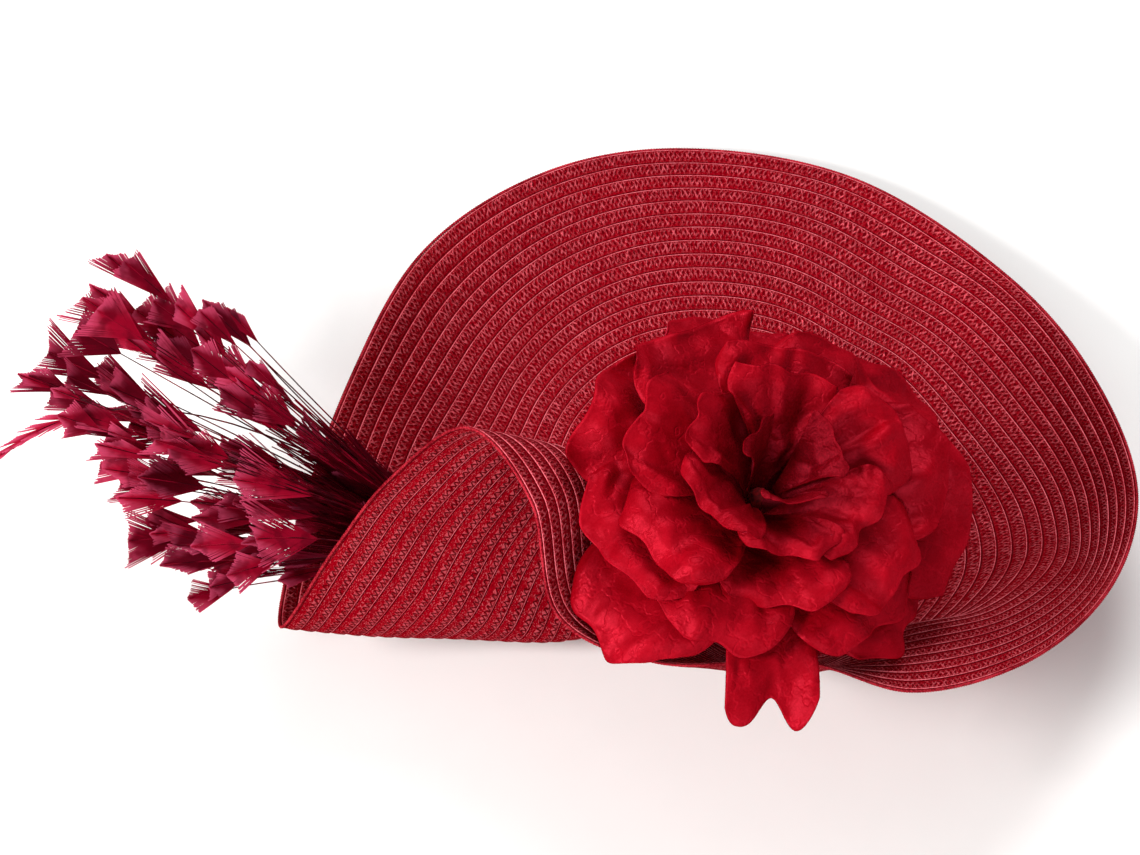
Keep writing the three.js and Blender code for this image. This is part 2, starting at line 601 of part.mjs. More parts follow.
// Hair comb: a spine with teeth, cut from one plate
function combGeometry() {
  const shape = new THREE.Shape();
  const half = combWidth / 2;
  shape.moveTo(-half, combSpine);
  shape.lineTo(-half, 0);
  const pitch = (combWidth - combToothWidth) / (combTeeth - 1);
  for (let n = 0; n < combTeeth; n += 1) {
    const left = -half + n * pitch;
    if (n > 0) {
      shape.lineTo(left, 0);
    }
    shape.lineTo(left + combToothWidth * combToothTaper, -combTooth);
    shape.lineTo(left + combToothWidth * (1 - combToothTaper), -combTooth);
    shape.lineTo(left + combToothWidth, 0);
  }
  shape.lineTo(half, combSpine);
  shape.closePath();
  const geometry = new THREE.ExtrudeGeometry(shape, { depth: combThickness, bevelEnabled: false });
  const spot = brimPlace(combAngle, combDistance);
  const right = new THREE.Vector3(1, 0, 0);
  right.addScaledVector(spot.normal, -right.dot(spot.normal)).normalize();
  const up = new THREE.Vector3().crossVectors(spot.normal, right);
  // The plate touches the lowest part of the disc above it
  let sag = 0;
  for (let i = 0; i < brimSpokes; i += 1) {
    for (const p of spokeCurve((360 * i) / brimSpokes, placePieces)) {
      const away = p.sub(spot.point);
      const inside = Math.abs(away.dot(right)) < half + brimThickness
        && away.dot(up) < combSpine + brimThickness && away.dot(up) > -combTooth - brimThickness;
      if (inside) {
        sag = Math.min(sag, away.dot(spot.normal));
      }
    }
  }
  const lift = sag - brimThickness / 2 - seatGap - combThickness;
  const frame = new THREE.Matrix4().makeBasis(right, up, spot.normal);
  frame.setPosition(spot.point.clone().addScaledVector(spot.normal, lift));
  return geometry.applyMatrix4(frame);
}

function material(colour, roughness) {
  return new THREE.MeshStandardMaterial({ color: colour, roughness, metalness: 0, side: THREE.FrontSide });
}

const straw = material(0x960c26, 0.45);
const wireStraw = material(0xa81c34, 0.4);
const silk = material(0xaf0019, 0.6);
const silkDark = material(0x7a0010, 0.7);
const feather = material(0x8a1440, 0.7);
const plastic = material(0x2a1a1a, 0.4);

const fascinator = new THREE.Group();
fascinator.name = 'fascinator';

function place(name, geometry, look) {
  const mesh = new THREE.Mesh(geometry, look);
  mesh.name = name;
  fascinator.add(mesh);
}

place('brim', brimGeometry(), straw);
place('rim_wire', wireGeometry(), wireStraw);
place('hair_comb', combGeometry(), plastic);
place('flower_base', flowerBaseGeometry(), silkDark);
for (const petal of petals) {
  place(petal.name, petalGeometry(petal), silk);
}
place('flower_button', buttonGeometry(), silkDark);
place('plume', plumeGeometry(), feather);

// Lay the hat down: lean, then set its lowest point on the floor under the middle of its box
const laid = new THREE.Matrix4().makeRotationX(radians(90 - restLean));
const box = new THREE.Box3();
for (const mesh of fascinator.children) {
  mesh.geometry.applyMatrix4(laid);
  mesh.geometry.computeBoundingBox();
  box.union(mesh.geometry.boundingBox);
}
const middle = box.getCenter(new THREE.Vector3());
for (const mesh of fascinator.children) {
  mesh.geometry.translate(-middle.x, -middle.y, -box.min.z);
}

export default fascinator;
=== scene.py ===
# Looks of a fascinator: a folded disc of sewn straw braid, a cloth flower and a feather plume.
import json
import math

import bpy
import numpy as np
from mathutils import Vector
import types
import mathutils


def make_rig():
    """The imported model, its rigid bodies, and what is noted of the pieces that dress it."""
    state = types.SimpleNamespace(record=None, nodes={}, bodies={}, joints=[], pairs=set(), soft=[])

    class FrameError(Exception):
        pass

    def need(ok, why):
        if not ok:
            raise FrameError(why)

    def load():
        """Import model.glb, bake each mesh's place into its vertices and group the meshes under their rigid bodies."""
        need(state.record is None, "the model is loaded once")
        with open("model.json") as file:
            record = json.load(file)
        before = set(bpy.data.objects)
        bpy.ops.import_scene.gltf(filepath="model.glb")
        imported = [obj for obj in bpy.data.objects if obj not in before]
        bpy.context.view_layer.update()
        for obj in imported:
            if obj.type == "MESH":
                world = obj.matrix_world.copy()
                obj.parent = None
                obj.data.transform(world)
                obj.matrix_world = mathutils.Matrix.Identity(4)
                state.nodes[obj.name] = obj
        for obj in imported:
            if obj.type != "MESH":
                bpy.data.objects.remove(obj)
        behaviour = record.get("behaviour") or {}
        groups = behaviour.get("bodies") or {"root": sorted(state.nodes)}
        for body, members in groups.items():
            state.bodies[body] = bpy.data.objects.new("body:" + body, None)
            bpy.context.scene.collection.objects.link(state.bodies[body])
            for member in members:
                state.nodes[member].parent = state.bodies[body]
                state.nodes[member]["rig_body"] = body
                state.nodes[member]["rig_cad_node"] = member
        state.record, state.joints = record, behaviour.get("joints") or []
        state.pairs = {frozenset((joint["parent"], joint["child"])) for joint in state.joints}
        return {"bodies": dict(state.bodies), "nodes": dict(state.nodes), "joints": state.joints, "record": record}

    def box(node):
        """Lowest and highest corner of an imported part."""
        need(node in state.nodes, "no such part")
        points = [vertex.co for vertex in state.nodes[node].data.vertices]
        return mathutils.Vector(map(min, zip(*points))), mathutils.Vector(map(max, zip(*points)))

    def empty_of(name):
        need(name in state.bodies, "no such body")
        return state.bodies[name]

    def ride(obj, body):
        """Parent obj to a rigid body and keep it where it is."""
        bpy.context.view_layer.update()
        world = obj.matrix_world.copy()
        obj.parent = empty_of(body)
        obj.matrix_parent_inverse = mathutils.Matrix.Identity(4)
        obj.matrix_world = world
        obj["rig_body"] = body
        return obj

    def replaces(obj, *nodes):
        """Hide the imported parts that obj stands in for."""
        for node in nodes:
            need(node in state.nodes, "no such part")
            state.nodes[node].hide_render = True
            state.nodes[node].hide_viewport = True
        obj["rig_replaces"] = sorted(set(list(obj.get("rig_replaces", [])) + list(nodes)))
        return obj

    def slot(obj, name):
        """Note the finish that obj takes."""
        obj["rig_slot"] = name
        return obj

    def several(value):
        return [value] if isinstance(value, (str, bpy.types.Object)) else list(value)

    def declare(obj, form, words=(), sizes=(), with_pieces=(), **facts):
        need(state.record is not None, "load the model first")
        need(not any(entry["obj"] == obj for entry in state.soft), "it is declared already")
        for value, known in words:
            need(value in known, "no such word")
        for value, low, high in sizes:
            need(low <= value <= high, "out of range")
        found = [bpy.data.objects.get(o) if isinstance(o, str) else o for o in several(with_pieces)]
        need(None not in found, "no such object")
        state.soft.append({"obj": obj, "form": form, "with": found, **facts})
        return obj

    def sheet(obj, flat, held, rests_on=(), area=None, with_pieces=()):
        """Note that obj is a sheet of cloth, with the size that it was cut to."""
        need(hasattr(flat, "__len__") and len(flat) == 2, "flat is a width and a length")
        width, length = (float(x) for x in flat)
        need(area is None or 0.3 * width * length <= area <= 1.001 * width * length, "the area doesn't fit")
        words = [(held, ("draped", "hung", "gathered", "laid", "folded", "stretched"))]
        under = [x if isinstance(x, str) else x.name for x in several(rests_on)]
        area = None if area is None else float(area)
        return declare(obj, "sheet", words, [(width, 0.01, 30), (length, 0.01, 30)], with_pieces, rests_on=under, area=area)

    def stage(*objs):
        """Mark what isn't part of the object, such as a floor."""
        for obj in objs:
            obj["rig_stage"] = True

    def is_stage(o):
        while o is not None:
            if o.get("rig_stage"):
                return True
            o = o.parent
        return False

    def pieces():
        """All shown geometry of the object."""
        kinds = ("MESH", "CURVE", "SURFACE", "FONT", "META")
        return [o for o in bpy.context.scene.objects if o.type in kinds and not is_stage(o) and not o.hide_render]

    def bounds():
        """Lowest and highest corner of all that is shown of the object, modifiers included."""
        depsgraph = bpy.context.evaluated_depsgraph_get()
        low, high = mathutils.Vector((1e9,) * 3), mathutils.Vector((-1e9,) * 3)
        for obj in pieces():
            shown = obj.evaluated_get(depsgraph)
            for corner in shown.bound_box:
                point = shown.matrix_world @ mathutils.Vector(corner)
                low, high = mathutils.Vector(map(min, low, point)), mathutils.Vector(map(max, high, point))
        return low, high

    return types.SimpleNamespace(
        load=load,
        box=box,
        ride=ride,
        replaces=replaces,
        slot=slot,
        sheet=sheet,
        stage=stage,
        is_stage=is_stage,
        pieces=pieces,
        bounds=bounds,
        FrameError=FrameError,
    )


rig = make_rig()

bl_info = {
    "name": "Fascinator",
    "version": (1, 0, 0),
    "blender": (4, 5, 0),
    "location": "3D View > Sidebar > Fascinator",
    "description": "Builds the braid disc, flower, plume and comb of a fascinator",
    "category": "Object",
}

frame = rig.load()
cad_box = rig.bounds()

MM = 0.001

# Hat frame, in millimetres: X right, Y up the tall side, Z out of the open side. The disc's middle
# is its origin. The hat lies on the floor leaned back by this angle.
REST_LEAN = 58

# Braid disc. Each spoke: angle on the flat disc, then where it passes at the inner and the outer
# station and at the rim.
DISC_RADIUS = 205
DISC_HALF = 0.38
INNER_STATION = 0.4
OUTER_STATION = 0.72
MIDDLE_LEAN = 37
MIDDLE_SPEED = 0.9
SPOKES = (
    (10, (70, 0, -23), (132, 12, -29), (168, 17, 13)),
    (33, (65, 32, -38), (119, 54, -50), (151, 69, -29)),
    (55, (45, 59, -50), (89, 101, -82), (115, 113, -75)),
    (77, (16, 68, -53), (32, 124, -90), (52, 154, -112)),
    (100, (-16, 68, -53), (-24, 126, -90), (-24, 167, -122)),
    (122, (-43, 59, -48), (-71, 109, -84), (-85, 155, -111)),
    (143, (-64, 45, -44), (-108, 86, -76), (-134, 121, -82)),
    (163, (-78, 25, -36), (-131, 50, -46), (-163, 68, -29)),
    (182, (-85, -4, -23), (-140, 0, -8), (-183, 10, 19)),
    (200, (-81, -34, -4), (-139, -40, 29), (-190, -36, 63)),
    (214, (-68, -41, 22), (-122, -28, 62), (-168, -4, 92)),
    (228, (-58, -19, 40), (-100, 4, 82), (-144, 26, 116)),
    (242, (-41, 10, 50), (-75, 36, 103), (-112, 47, 138)),
    (256, (-27, 10, 48), (-54, 25, 108), (-86, 17, 148)),
    (270, (-24, -17, 45), (-45, -19, 105), (-75, -30, 151)),
    (284, (-12, -38, 42), (-20, -46, 98), (-35, -49, 149)),
    (300, (9, -49, 38), (24, -55, 88), (24, -49, 138)),
    (316, (34, -50, 33), (67, -37, 78), (70, -61, 127)),
    (332, (54, -42, 19), (104, -30, 54), (115, -51, 101)),
    (350, (64, -23, -2), (132, -11, 6), (152, -24, 53)),
)

# Braid rows: how each face stands up across one row, as (place in the row, height in mm). Each
# row lies over the next one out on the open side, and over the next one in on the other.
ROWS = 29
ROW_FRONT = ((0.0, 0.0), (0.15, 0.08), (0.45, 0.3), (0.74, 0.48), (0.92, 0.46))
ROW_BACK = ((0.0, 0.0), (0.08, 0.46), (0.26, 0.48), (0.55, 0.3), (0.85, 0.08))
THREAD_FRONT = 0.95
THREAD_BACK = 0.06
PLAIT_LENGTH = 2.4

# Flower frame and layers: height at the root, halfway and at the tip, reach, step to the
# neighbour, radius of the root. Outermost layer first.
FLOWER_ROOT = (4, 13, 114)
FLOWER_FACING = (0.35, 0.45, 0.82)
LAYERS = (
    (0.8, 6, -4, 96, 5.5, 4),
    (2.4, 15, 12, 86, 5.5, 4),
    (4, 24, 29, 70, 5.5, 4),
    (5.6, 32, 44, 46, 5, 4),
    (11.6, 38, 50, 22, 4, 6.5),
)
ROOT_SLICE = 17
SLICE_OPENS = 150
NARROW_SHARE = 0.6
RUFFLE_REACH = 95
RUFFLES = ((5, 3, 20), (4, 5, 75), (2.5, 8, 10))

# Petals: name, layer, direction, reach, half width, curl of the tip, lift, notch, then the looks
# alone: roll of the edge, depth of the creases, and twist of the tip
PETALS = (
    ("outer_right_low", 0, -43, 86, 30, 2, 3, 4, 3, 1.3, 0),
    ("outer_right_up", 0, 31, 103, 36, 5, 0, -8, 2, 1.6, 0),
    ("outer_top", 0, 90, 93, 36, 6, 0, 3, 5, 1.5, 4),
    ("outer_left_up", 0, 142, 85, 34, 6, 0, 5, 4, 1.3, 0),
    ("outer_left_low", 0, 216, 96, 34, -5, 0, 3, 4, 1.2, 0),
    ("outer_bottom", 0, 264, 98, 19, 0, 3, 8, 1, 0.7, 0),
    ("second_right", 1, -6, 97, 38, 2, 0, 3, 2, 1.5, 0),
    ("second_right_up", 1, 46, 86, 36, 5, 0, 5, 3, 2.0, 3),
    ("second_top", 1, 108, 80, 34, 8, 0, 2, 5, 1.6, 3),
    ("second_left", 1, 195, 82, 34, 3, 0, 6, 5, 1.3, 0),
    ("second_left_low", 1, 240, 79, 30, -3, 0, 3, 2, 1.2, 0),
    ("second_right_low", 1, 305, 78, 36, -1, 0, 5, 2, 1.5, 0),
    ("third_right", 2, 5, 80, 32, 3, 0, 4, 3, 1.7, 0),
    ("third_top", 2, 75, 64, 32, 5, 0, 6, 3, 1.6, 0),
    ("third_left", 2, 153, 66, 30, 4, 0, 3, 3, 1.3, 0),
    ("third_left_low", 2, 203, 72, 30, -2, 0, 4, 5, 1.1, 0),
    ("third_front", 2, 265, 60, 29, -4, 0, 5, 3, 1.4, 0),
    ("third_right_low", 2, 317, 71, 30, -1, 0, 3, 2, 1.6, 0),
    ("fourth_right", 3, 16, 56, 24, 2, 0, 3, 5, 2.2, 6),
    ("fourth_top", 3, 80, 44, 26, 4, 0, 4, 4, 2.2, -4),
    ("fourth_left", 3, 138, 40, 20, 2, 0, -4, 5, 2.0, -7),
    ("fourth_left_low", 3, 203, 44, 24, 0, 0, 4, 4, 2.0, 4),
    ("fourth_front", 3, 264, 42, 24, -3, 0, 3, 4, 2.2, -4),
    ("fourth_right_low", 3, 320, 45, 24, -2, 0, 4, 4, 2.2, 4),
    ("heart_right", 4, 20, 22, 15, 1, 0, 2, 2, 1.6, 3),
    ("heart_left", 4, 140, 20, 14, 2, 0, 2, 2, 1.6, -3),
    ("heart_front", 4, 260, 21, 14, 0, 0, 2, 2, 1.6, 3),
)

# Plume: place of its bound head on the disc, then for each lock its tip, the point that it first
# runs towards, length of its fan and spread of its fan
PLUME_ANGLE = 192
PLUME_SHARE = 0.48
PLUME_LIFT = 0.9 + 0.3 + 5 + 1
LOCKS = (
    ((-264, 119, 40), (-196, 62, 24), 22, 15),
    ((-273, 101, 62), (-200, 50, 38), 26, 16),
    ((-252, 96, 34), (-190, 52, 30), 20, 13),
    ((-224, 100, 30), (-176, 50, 26), 20, 13),
    ((-234, 98, 74), (-178, 44, 44), 18, 12),
    ((-288, 78, 44), (-208, 44, 36), 20, 12),
    ((-299, 69, 80), (-214, 36, 52), 16, 10),
    ((-308, 36, 60), (-240, 96, 46), 40, 8),
    ((-262, 64, 56), (-186, 32, 42), 28, 17),
    ((-276, 52, 66), (-200, 30, 50), 24, 15),
    ((-246, 50, 88), (-176, 26, 56), 24, 16),
    ((-266, 32, 48), (-190, 22, 44), 26, 17),
    ((-258, 18, 82), (-184, 14, 56), 28, 17),
    ((-254, 0, 58), (-182, 8, 50), 24, 15),
    ((-240, -10, 78), (-174, 0, 58), 22, 14),
    ((-229, -24, 64), (-172, -6, 56), 18, 12),
    ((-212, -14, 88), (-164, 0, 62), 24, 14),
    ((-216, 72, 50), (-166, 36, 40), 24, 15),
    ((-216, 40, 40), (-166, 24, 40), 26, 17),
    ((-210, 16, 62), (-160, 12, 50), 28, 18),
)
FEATHERS_PER_LOCK = 6

# Stem under the flower: where its foot stands on the disc
STEM_ANGLE = 284
STEM_SHARE = 0.42
STEM_CLEAR = 0.9 + 0.3 + 0.2

BUTTON_HEIGHT = 5.6 + 1.2 + 4


def tone(*parts):
    """Colour as seen on a screen, 0 to 255, as linear light"""
    shares = [part / 255 for part in parts]
    light = [c / 12.92 if c <= 0.04045 else ((c + 0.055) / 1.055) ** 2.4 for c in shares]
    return (*light, 1.0)


def colour(label, text, default):
    return bpy.props.FloatVectorProperty(
        name=label, description=text, default=default, size=4, min=0, max=1, subtype="COLOR"
    )


def length(label, text, default):
    return bpy.props.FloatProperty(
        name=label, description=text, default=default * MM, min=0, unit="LENGTH", subtype="DISTANCE"
    )


class FascinatorSizes(bpy.types.PropertyGroup):
    """Sizes of the fine pieces"""

    thread: length("Edge thread", "Radius of the light thread along each braid row", 0.25)
    rim_core: length("Rim cord", "Radius of the cord inside the bound rim", 0.6)
    rim_wrap: length("Rim binding", "Radius of the thread wound round the rim", 0.22)
    rim_spacing: length("Rim winding step", "Distance between two turns of the rim's thread", 1.2)
    petal_wall: length("Petal cloth", "Thickness of the petal cloth", 0.45)
    petal_hem: length("Petal edge", "Radius of the sealed edge of a petal", 0.12)
    quill: length("Quill", "Radius of a feather's stem near the head", 0.5)
    barb: length("Barb width", "Width of one feather barb", 0.75)


class FascinatorColours(bpy.types.PropertyGroup):
    """Colours of the finishes"""

    straw: colour("Braid", "Main colour of the braid", tone(150, 0, 16))
    # Also painted shade in the low places between the strands
    straw_dark: colour("Braid shade", "Colour between the strands", tone(96, 0, 9))
    # Painted shade in the gaps of the plait, in the slits and in the groove beside each row's thread
    straw_gap_shade: colour("Braid gap", "Colour in the gaps of the plait", tone(34, 0, 2))
    # The light thread's own colour, also the colour of the painted glints on the braid
    straw_thread_and_glint: colour("Braid edge", "Light thread along each row", tone(246, 122, 134))
    straw_rim: colour("Rim", "Light thread wound round the rim", tone(184, 44, 58))
    silk: colour("Petal face", "Main colour of the petals", tone(136, 0, 11))
    # Also painted shade deep in the flower and in the hollows of the crumples
    silk_dark: colour("Petal root", "Colour deep in the flower", tone(44, 0, 2))
    # Painted highlight of the petal faces, on crumples, creases, grain and the free edge; also the tint of the light
    # that passes the cloth
    silk_highlight_and_through: colour("Petal light", "Colour where the cloth is stretched", tone(196, 12, 34))
    silk_back: colour("Petal back", "Colour of the underside", tone(146, 18, 40))
    # Painted highlight on the petal backs, and the tint of the petals' shine
    silk_sheen: colour("Petal edge", "Colour of the sealed edge", tone(210, 50, 72))
    quill: colour("Quill", "Colour of the stripped stems", tone(54, 2, 12))
    barb: colour("Barb", "Main colour of the feather fans", tone(166, 8, 42))
    barb_dark: colour("Barb shade", "Colour of the down near the head", tone(58, 0, 8))
    barb_tip: colour("Barb tip", "Colour of the frayed ends", tone(214, 78, 116))
    comb: colour("Comb", "Colour of the comb", tone(44, 24, 24))
    floor: colour("Floor", "Colour of the floor", tone(244, 243, 242))


# Geometry in the hat frame


def turn_to_world(points):
    """Hat frame to world directions"""
    lean = math.radians(90 - REST_LEAN)
    x, y, z = np.moveaxis(np.asarray(points, float), -1, 0)
    cos, sin = math.cos(lean), math.sin(lean)
    return np.stack((x, y * cos - z * sin, y * sin + z * cos), -1)


def unit(v):
    return v / np.maximum(np.linalg.norm(v, axis=-1, keepdims=True), 1e-12)


FLOWER_Z = unit(np.array(FLOWER_FACING))
FLOWER_X = unit(np.cross((0, 1, 0), FLOWER_Z))
FLOWER_Y = np.cross(FLOWER_Z, FLOWER_X)


def from_flower(points):
    """Flower frame to hat frame"""
    return np.array(FLOWER_ROOT) + np.asarray(points) @ np.stack((FLOWER_X, FLOWER_Y, FLOWER_Z))


def hat_offset():
    """Where the hat frame's origin lies in the world, in metres, from the button's own box"""
    low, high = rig.box("flower_button")
    return np.array((low + high) / 2) - turn_to_world(from_flower((0, 0, BUTTON_HEIGHT))) * MM


OFFSET = hat_offset()


def to_world(points):
    """Hat frame in millimetres to world in metres"""
    return turn_to_world(points) * MM + OFFSET


def hermite(a, slope_a, b, slope_b, gap, x):
    """Cubic from a to b with a slope at each end"""
    x2, x3 = x * x, x * x * x
    ends = a * (2 * x3 - 3 * x2 + 1) + b * (3 * x2 - 2 * x3)
    return ends + (slope_a * (x3 - 2 * x2 + x) + slope_b * (x3 - x2)) * gap


def slope_between(a, b, c, before, after):
    """Slope at b, with the gaps before and after it"""
    return ((b - a) / before * after + (c - b) / after * before) / (before + after)


def spoke_column(column, degrees):
    """One column of the spoke table at any angles"""
    angles = np.array([row[0] for row in SPOKES], float)
    points = np.array([row[column] for row in SPOKES], float)
    gaps = np.diff(np.append(angles, angles[0] + 360))[:, None]
    before, after = np.roll(points, 1, 0), np.roll(points, -1, 0)
    slopes = slope_between(before, points, after, np.roll(gaps, 1, 0), gaps)
    turned = (np.asarray(degrees, float) - angles[0]) % 360 + angles[0]
    i = np.searchsorted(angles, turned, side="right") - 1
    j = (i + 1) % len(angles)
    x = (turned - angles[i])[:, None] / gaps[i]
    return hermite(points[i], slopes[i], points[j], slopes[j], gaps[i], x)


def lengths_along(points):
    """Length run from the first point of each line to every point of it"""
    steps = np.linalg.norm(np.diff(points, axis=-2), axis=-1)
    return np.cumsum(np.insert(steps, 0, 0, -1), -1)


def disc_points(degrees, shares):
    """Middle of the disc's wall at each angle and share of the spoke"""
    inner, outer, rim = (spoke_column(c, degrees) for c in (1, 2, 3))
    lean, turn = math.radians(MIDDLE_LEAN), np.radians(degrees)[:, None]
    up = np.array((0, math.cos(lean), -math.sin(lean)))
    leave = (np.cos(turn) * (1, 0, 0) + np.sin(turn) * up) * DISC_RADIUS * MIDDLE_SPEED
    stations = (0, INNER_STATION, OUTER_STATION, 1)
    gaps = np.diff(stations)
    knots = (np.zeros_like(inner), inner, outer, rim)
    slopes = [leave, *(slope_between(*knots[k : k + 3], *gaps[k : k + 2]) for k in (0, 1))]
    slopes.append((rim - outer) * 1.5 / gaps[2] - slopes[2] * 0.5)
    fine = []
    for s in np.linspace(0, 1, 101):
        k = int(s >= INNER_STATION) + int(s >= OUTER_STATION)
        x = (s - stations[k]) / gaps[k]
        fine.append(hermite(knots[k], slopes[k], knots[k + 1], slopes[k + 1], gaps[k], x))
    fine = np.stack(fine, 1)
    out = np.empty((len(fine), len(shares), 3))
    for line, run, kept in zip(fine, lengths_along(fine), out):
        for axis in range(3):
            kept[:, axis] = np.interp(np.asarray(shares) * run[-1], run, line[:, axis])
    return out


def disc_grid(count, shares):
    """Points and normals all round the disc. Normals point out of the open side."""
    points = disc_points(np.arange(count) * 360 / count, shares)
    across = np.roll(points, -1, 0) - np.roll(points, 1, 0)
    normals = unit(np.cross(np.gradient(points, axis=1), across))
    if shares[0] == 0:
        lean = math.radians(MIDDLE_LEAN)
        normals[:, 0] = (0, math.sin(lean), math.cos(lean))
    return points, normals


def disc_place(degrees, share):
    """Point, normal and outward direction at one place of the disc"""
    grid = disc_points((degrees - 2, degrees, degrees + 2), (share - 0.02, share, share + 0.02))
    along = unit(grid[1, 2] - grid[1, 0])
    return grid[1, 1], unit(np.cross(along, grid[2, 1] - grid[0, 1])), along


def smooth(x, low, high):
    x = np.clip((x - low) / (high - low), 0, 1)
    return x * x * (3 - 2 * x)


def ring(centre, right, up, radii):
    """Points round a centre, one for each radius"""
    turns = 2 * np.pi * np.arange(len(radii)) / len(radii)
    way = np.outer(np.cos(turns), right) + np.outer(np.sin(turns), up)
    return centre + way * radii[:, None]


def wound(around, turns, depth):
    """How far wound thread stands up round a ring, after so many turns"""
    return depth * np.abs(np.sin(np.pi * (turns + np.arange(around) / around)))


def corners(grid):
    """The four corners of every cell of a grid"""
    return grid[:-1, :-1], grid[1:, :-1], grid[1:, 1:], grid[:-1, 1:]


# Meshes, nodes and materials


def add_object(name, data):
    item = bpy.data.objects.new(name, data)
    bpy.context.scene.collection.objects.link(item)
    return item


def add_piece(piece, slot, *nodes):
    """Puts a finished piece on the hat"""
    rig.ride(piece, "root")
    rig.slot(piece, slot)
    if nodes:
        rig.replaces(piece, *nodes)


def new_mesh(name, points, faces, *materials):
    """Smooth mesh from points in metres"""
    mesh = bpy.data.meshes.new(name)
    mesh.from_pydata(np.reshape(points, (-1, 3)).tolist(), [], faces)
    mesh.validate()
    for material in materials:
        mesh.materials.append(material)
    mesh.shade_smooth()
    return add_object(name, mesh)


def new_tube(name, rings, material, inside_out=False):
    """Tube through rings of points in the hat frame, closed with a cap at each end"""
    steps, around = np.shape(rings)[:2]
    faces = []
    for a in range(0, (steps - 1) * around, around):
        for k in range(around):
            n = (k + 1) % around
            faces.append((a + k, a + around + k, a + around + n, a + n))
    last = (steps - 1) * around
    caps = [tuple(range(around)), tuple(reversed(range(last, last + around)))]
    if inside_out:
        faces = [(face[0], *face[:0:-1]) for face in faces]
        caps = [cap[::-1] for cap in caps]
    return new_mesh(name, to_world(rings), faces + caps, material)


def set_uv(mesh, uv):
    mesh.uv_layers.new(name="UVMap").data.foreach_set("uv", np.asarray(uv, np.float32).ravel())


def set_attribute(mesh, name, values):
    """Keeps a number or a vector on every point"""
    values = np.asarray(values, np.float32)
    kind, field = ("FLOAT_VECTOR", "vector") if values.ndim == 2 else ("FLOAT", "value")
    mesh.attributes.new(name, kind, "POINT").data.foreach_set(field, values.ravel())


def new_lines(lines, closed, attributes):
    """Mesh of bare edges: one chain for each line of points in metres"""
    points, edges = [], []
    for line in lines:
        first = len(points)
        points.extend(np.asarray(line).tolist())
        edges.extend((k, k + 1) for k in range(first, len(points) - 1))
        if closed:
            edges.append((len(points) - 1, first))
    mesh = bpy.data.meshes.new("lines")
    mesh.from_pydata(points, edges, [])
    for name, values in attributes.items():
        set_attribute(mesh, name, values)
    return add_object("lines", mesh)


def add_node(tree, kind, *values, **named):
    """Adds a node. Values go to its sockets in order. A name with a capital is a socket, with _
    for a space, and any other name is a setting of the node."""
    node = tree.nodes.new(kind)
    sockets = list(zip(node.inputs, values))
    for key, value in named.items():
        if key[0].islower():
            setattr(node, key, value)
    for key, value in named.items():
        if key[0].isupper():
            words = key.replace("_", " ")
            sockets.append((next(s for s in node.inputs if s.enabled and s.name == words), value))
    for socket, value in sockets:
        if isinstance(value, Value):
            value = value.socket
        if isinstance(value, bpy.types.NodeSocket):
            tree.links.new(value, socket)
        else:
            socket.default_value = value
    return node


class Tree:
    """Geometry node tree with named inputs"""

    def __init__(self, name, **inputs):
        self.group = bpy.data.node_groups.new(name, "GeometryNodeTree")
        self.keys = {}
        face = self.group.interface
        for label, kind in {"geometry": "Geometry", **inputs}.items():
            kind = "NodeSocket" + kind
            socket = face.new_socket(label.capitalize(), in_out="INPUT", socket_type=kind)
            self.keys[label] = socket.identifier
        face.new_socket("Geometry", in_out="OUTPUT", socket_type="NodeSocketGeometry")
        self.given = dict(zip(self.keys, self.group.nodes.new("NodeGroupInput").outputs))

    def node(self, kind, *values, **named):
        """Adds a node, a geometry node if the kind doesn't say"""
        kind = kind if "Node" in kind else "GeometryNode" + kind
        return add_node(self.group, kind, *values, **named)

    def out(self, kind, *values, **named):
        """Adds a node and gives its first enabled output"""
        return next(s for s in self.node(kind, *values, **named).outputs if s.enabled)

    def curve(self):
        return self.out("MeshToCurve", Mesh=self.given["geometry"])

    def sweep(self, curve, sides, radius, **more):
        """Round tube along a curve"""
        profile = self.out("CurvePrimitiveCircle", Resolution=sides, Radius=radius)
        return self.out("CurveToMesh", Curve=curve, Profile_Curve=profile, **more)

    def finish(self, geometry):
        """Real instances, then the material, then the way out"""
        real = self.out("RealizeInstances", Geometry=geometry)
        last = self.out("SetMaterial", Geometry=real, Material=self.given["material"])
        self.node("NodeGroupOutput", last)
        return self

    def grow(self, name, slot, nodes, lines, closed=False, attributes=None, **values):
        """Runs the tree on lines of points and puts the result on the hat as a plain mesh"""
        source = new_lines(lines, closed, attributes or {})
        modifier = source.modifiers.new(name, "NODES")
        modifier.node_group = self.group
        for label, value in values.items():
            modifier[self.keys[label]] = value
        bpy.context.view_layer.update()
        done = source.evaluated_get(bpy.context.evaluated_depsgraph_get())
        mesh = bpy.data.meshes.new_from_object(done)
        mesh.name = name
        if not mesh.polygons:
            raise RuntimeError(name + " has no faces")
        mesh.shade_smooth()
        bpy.data.objects.remove(source)
        add_piece(add_object(name, mesh), slot, *nodes)


def thread_tree():
    """A round thread along every chain of edges"""
    tree = Tree("Thread", radius="Float", material="Material")
    return tree.finish(tree.sweep(tree.curve(), 4, tree.given["radius"]))


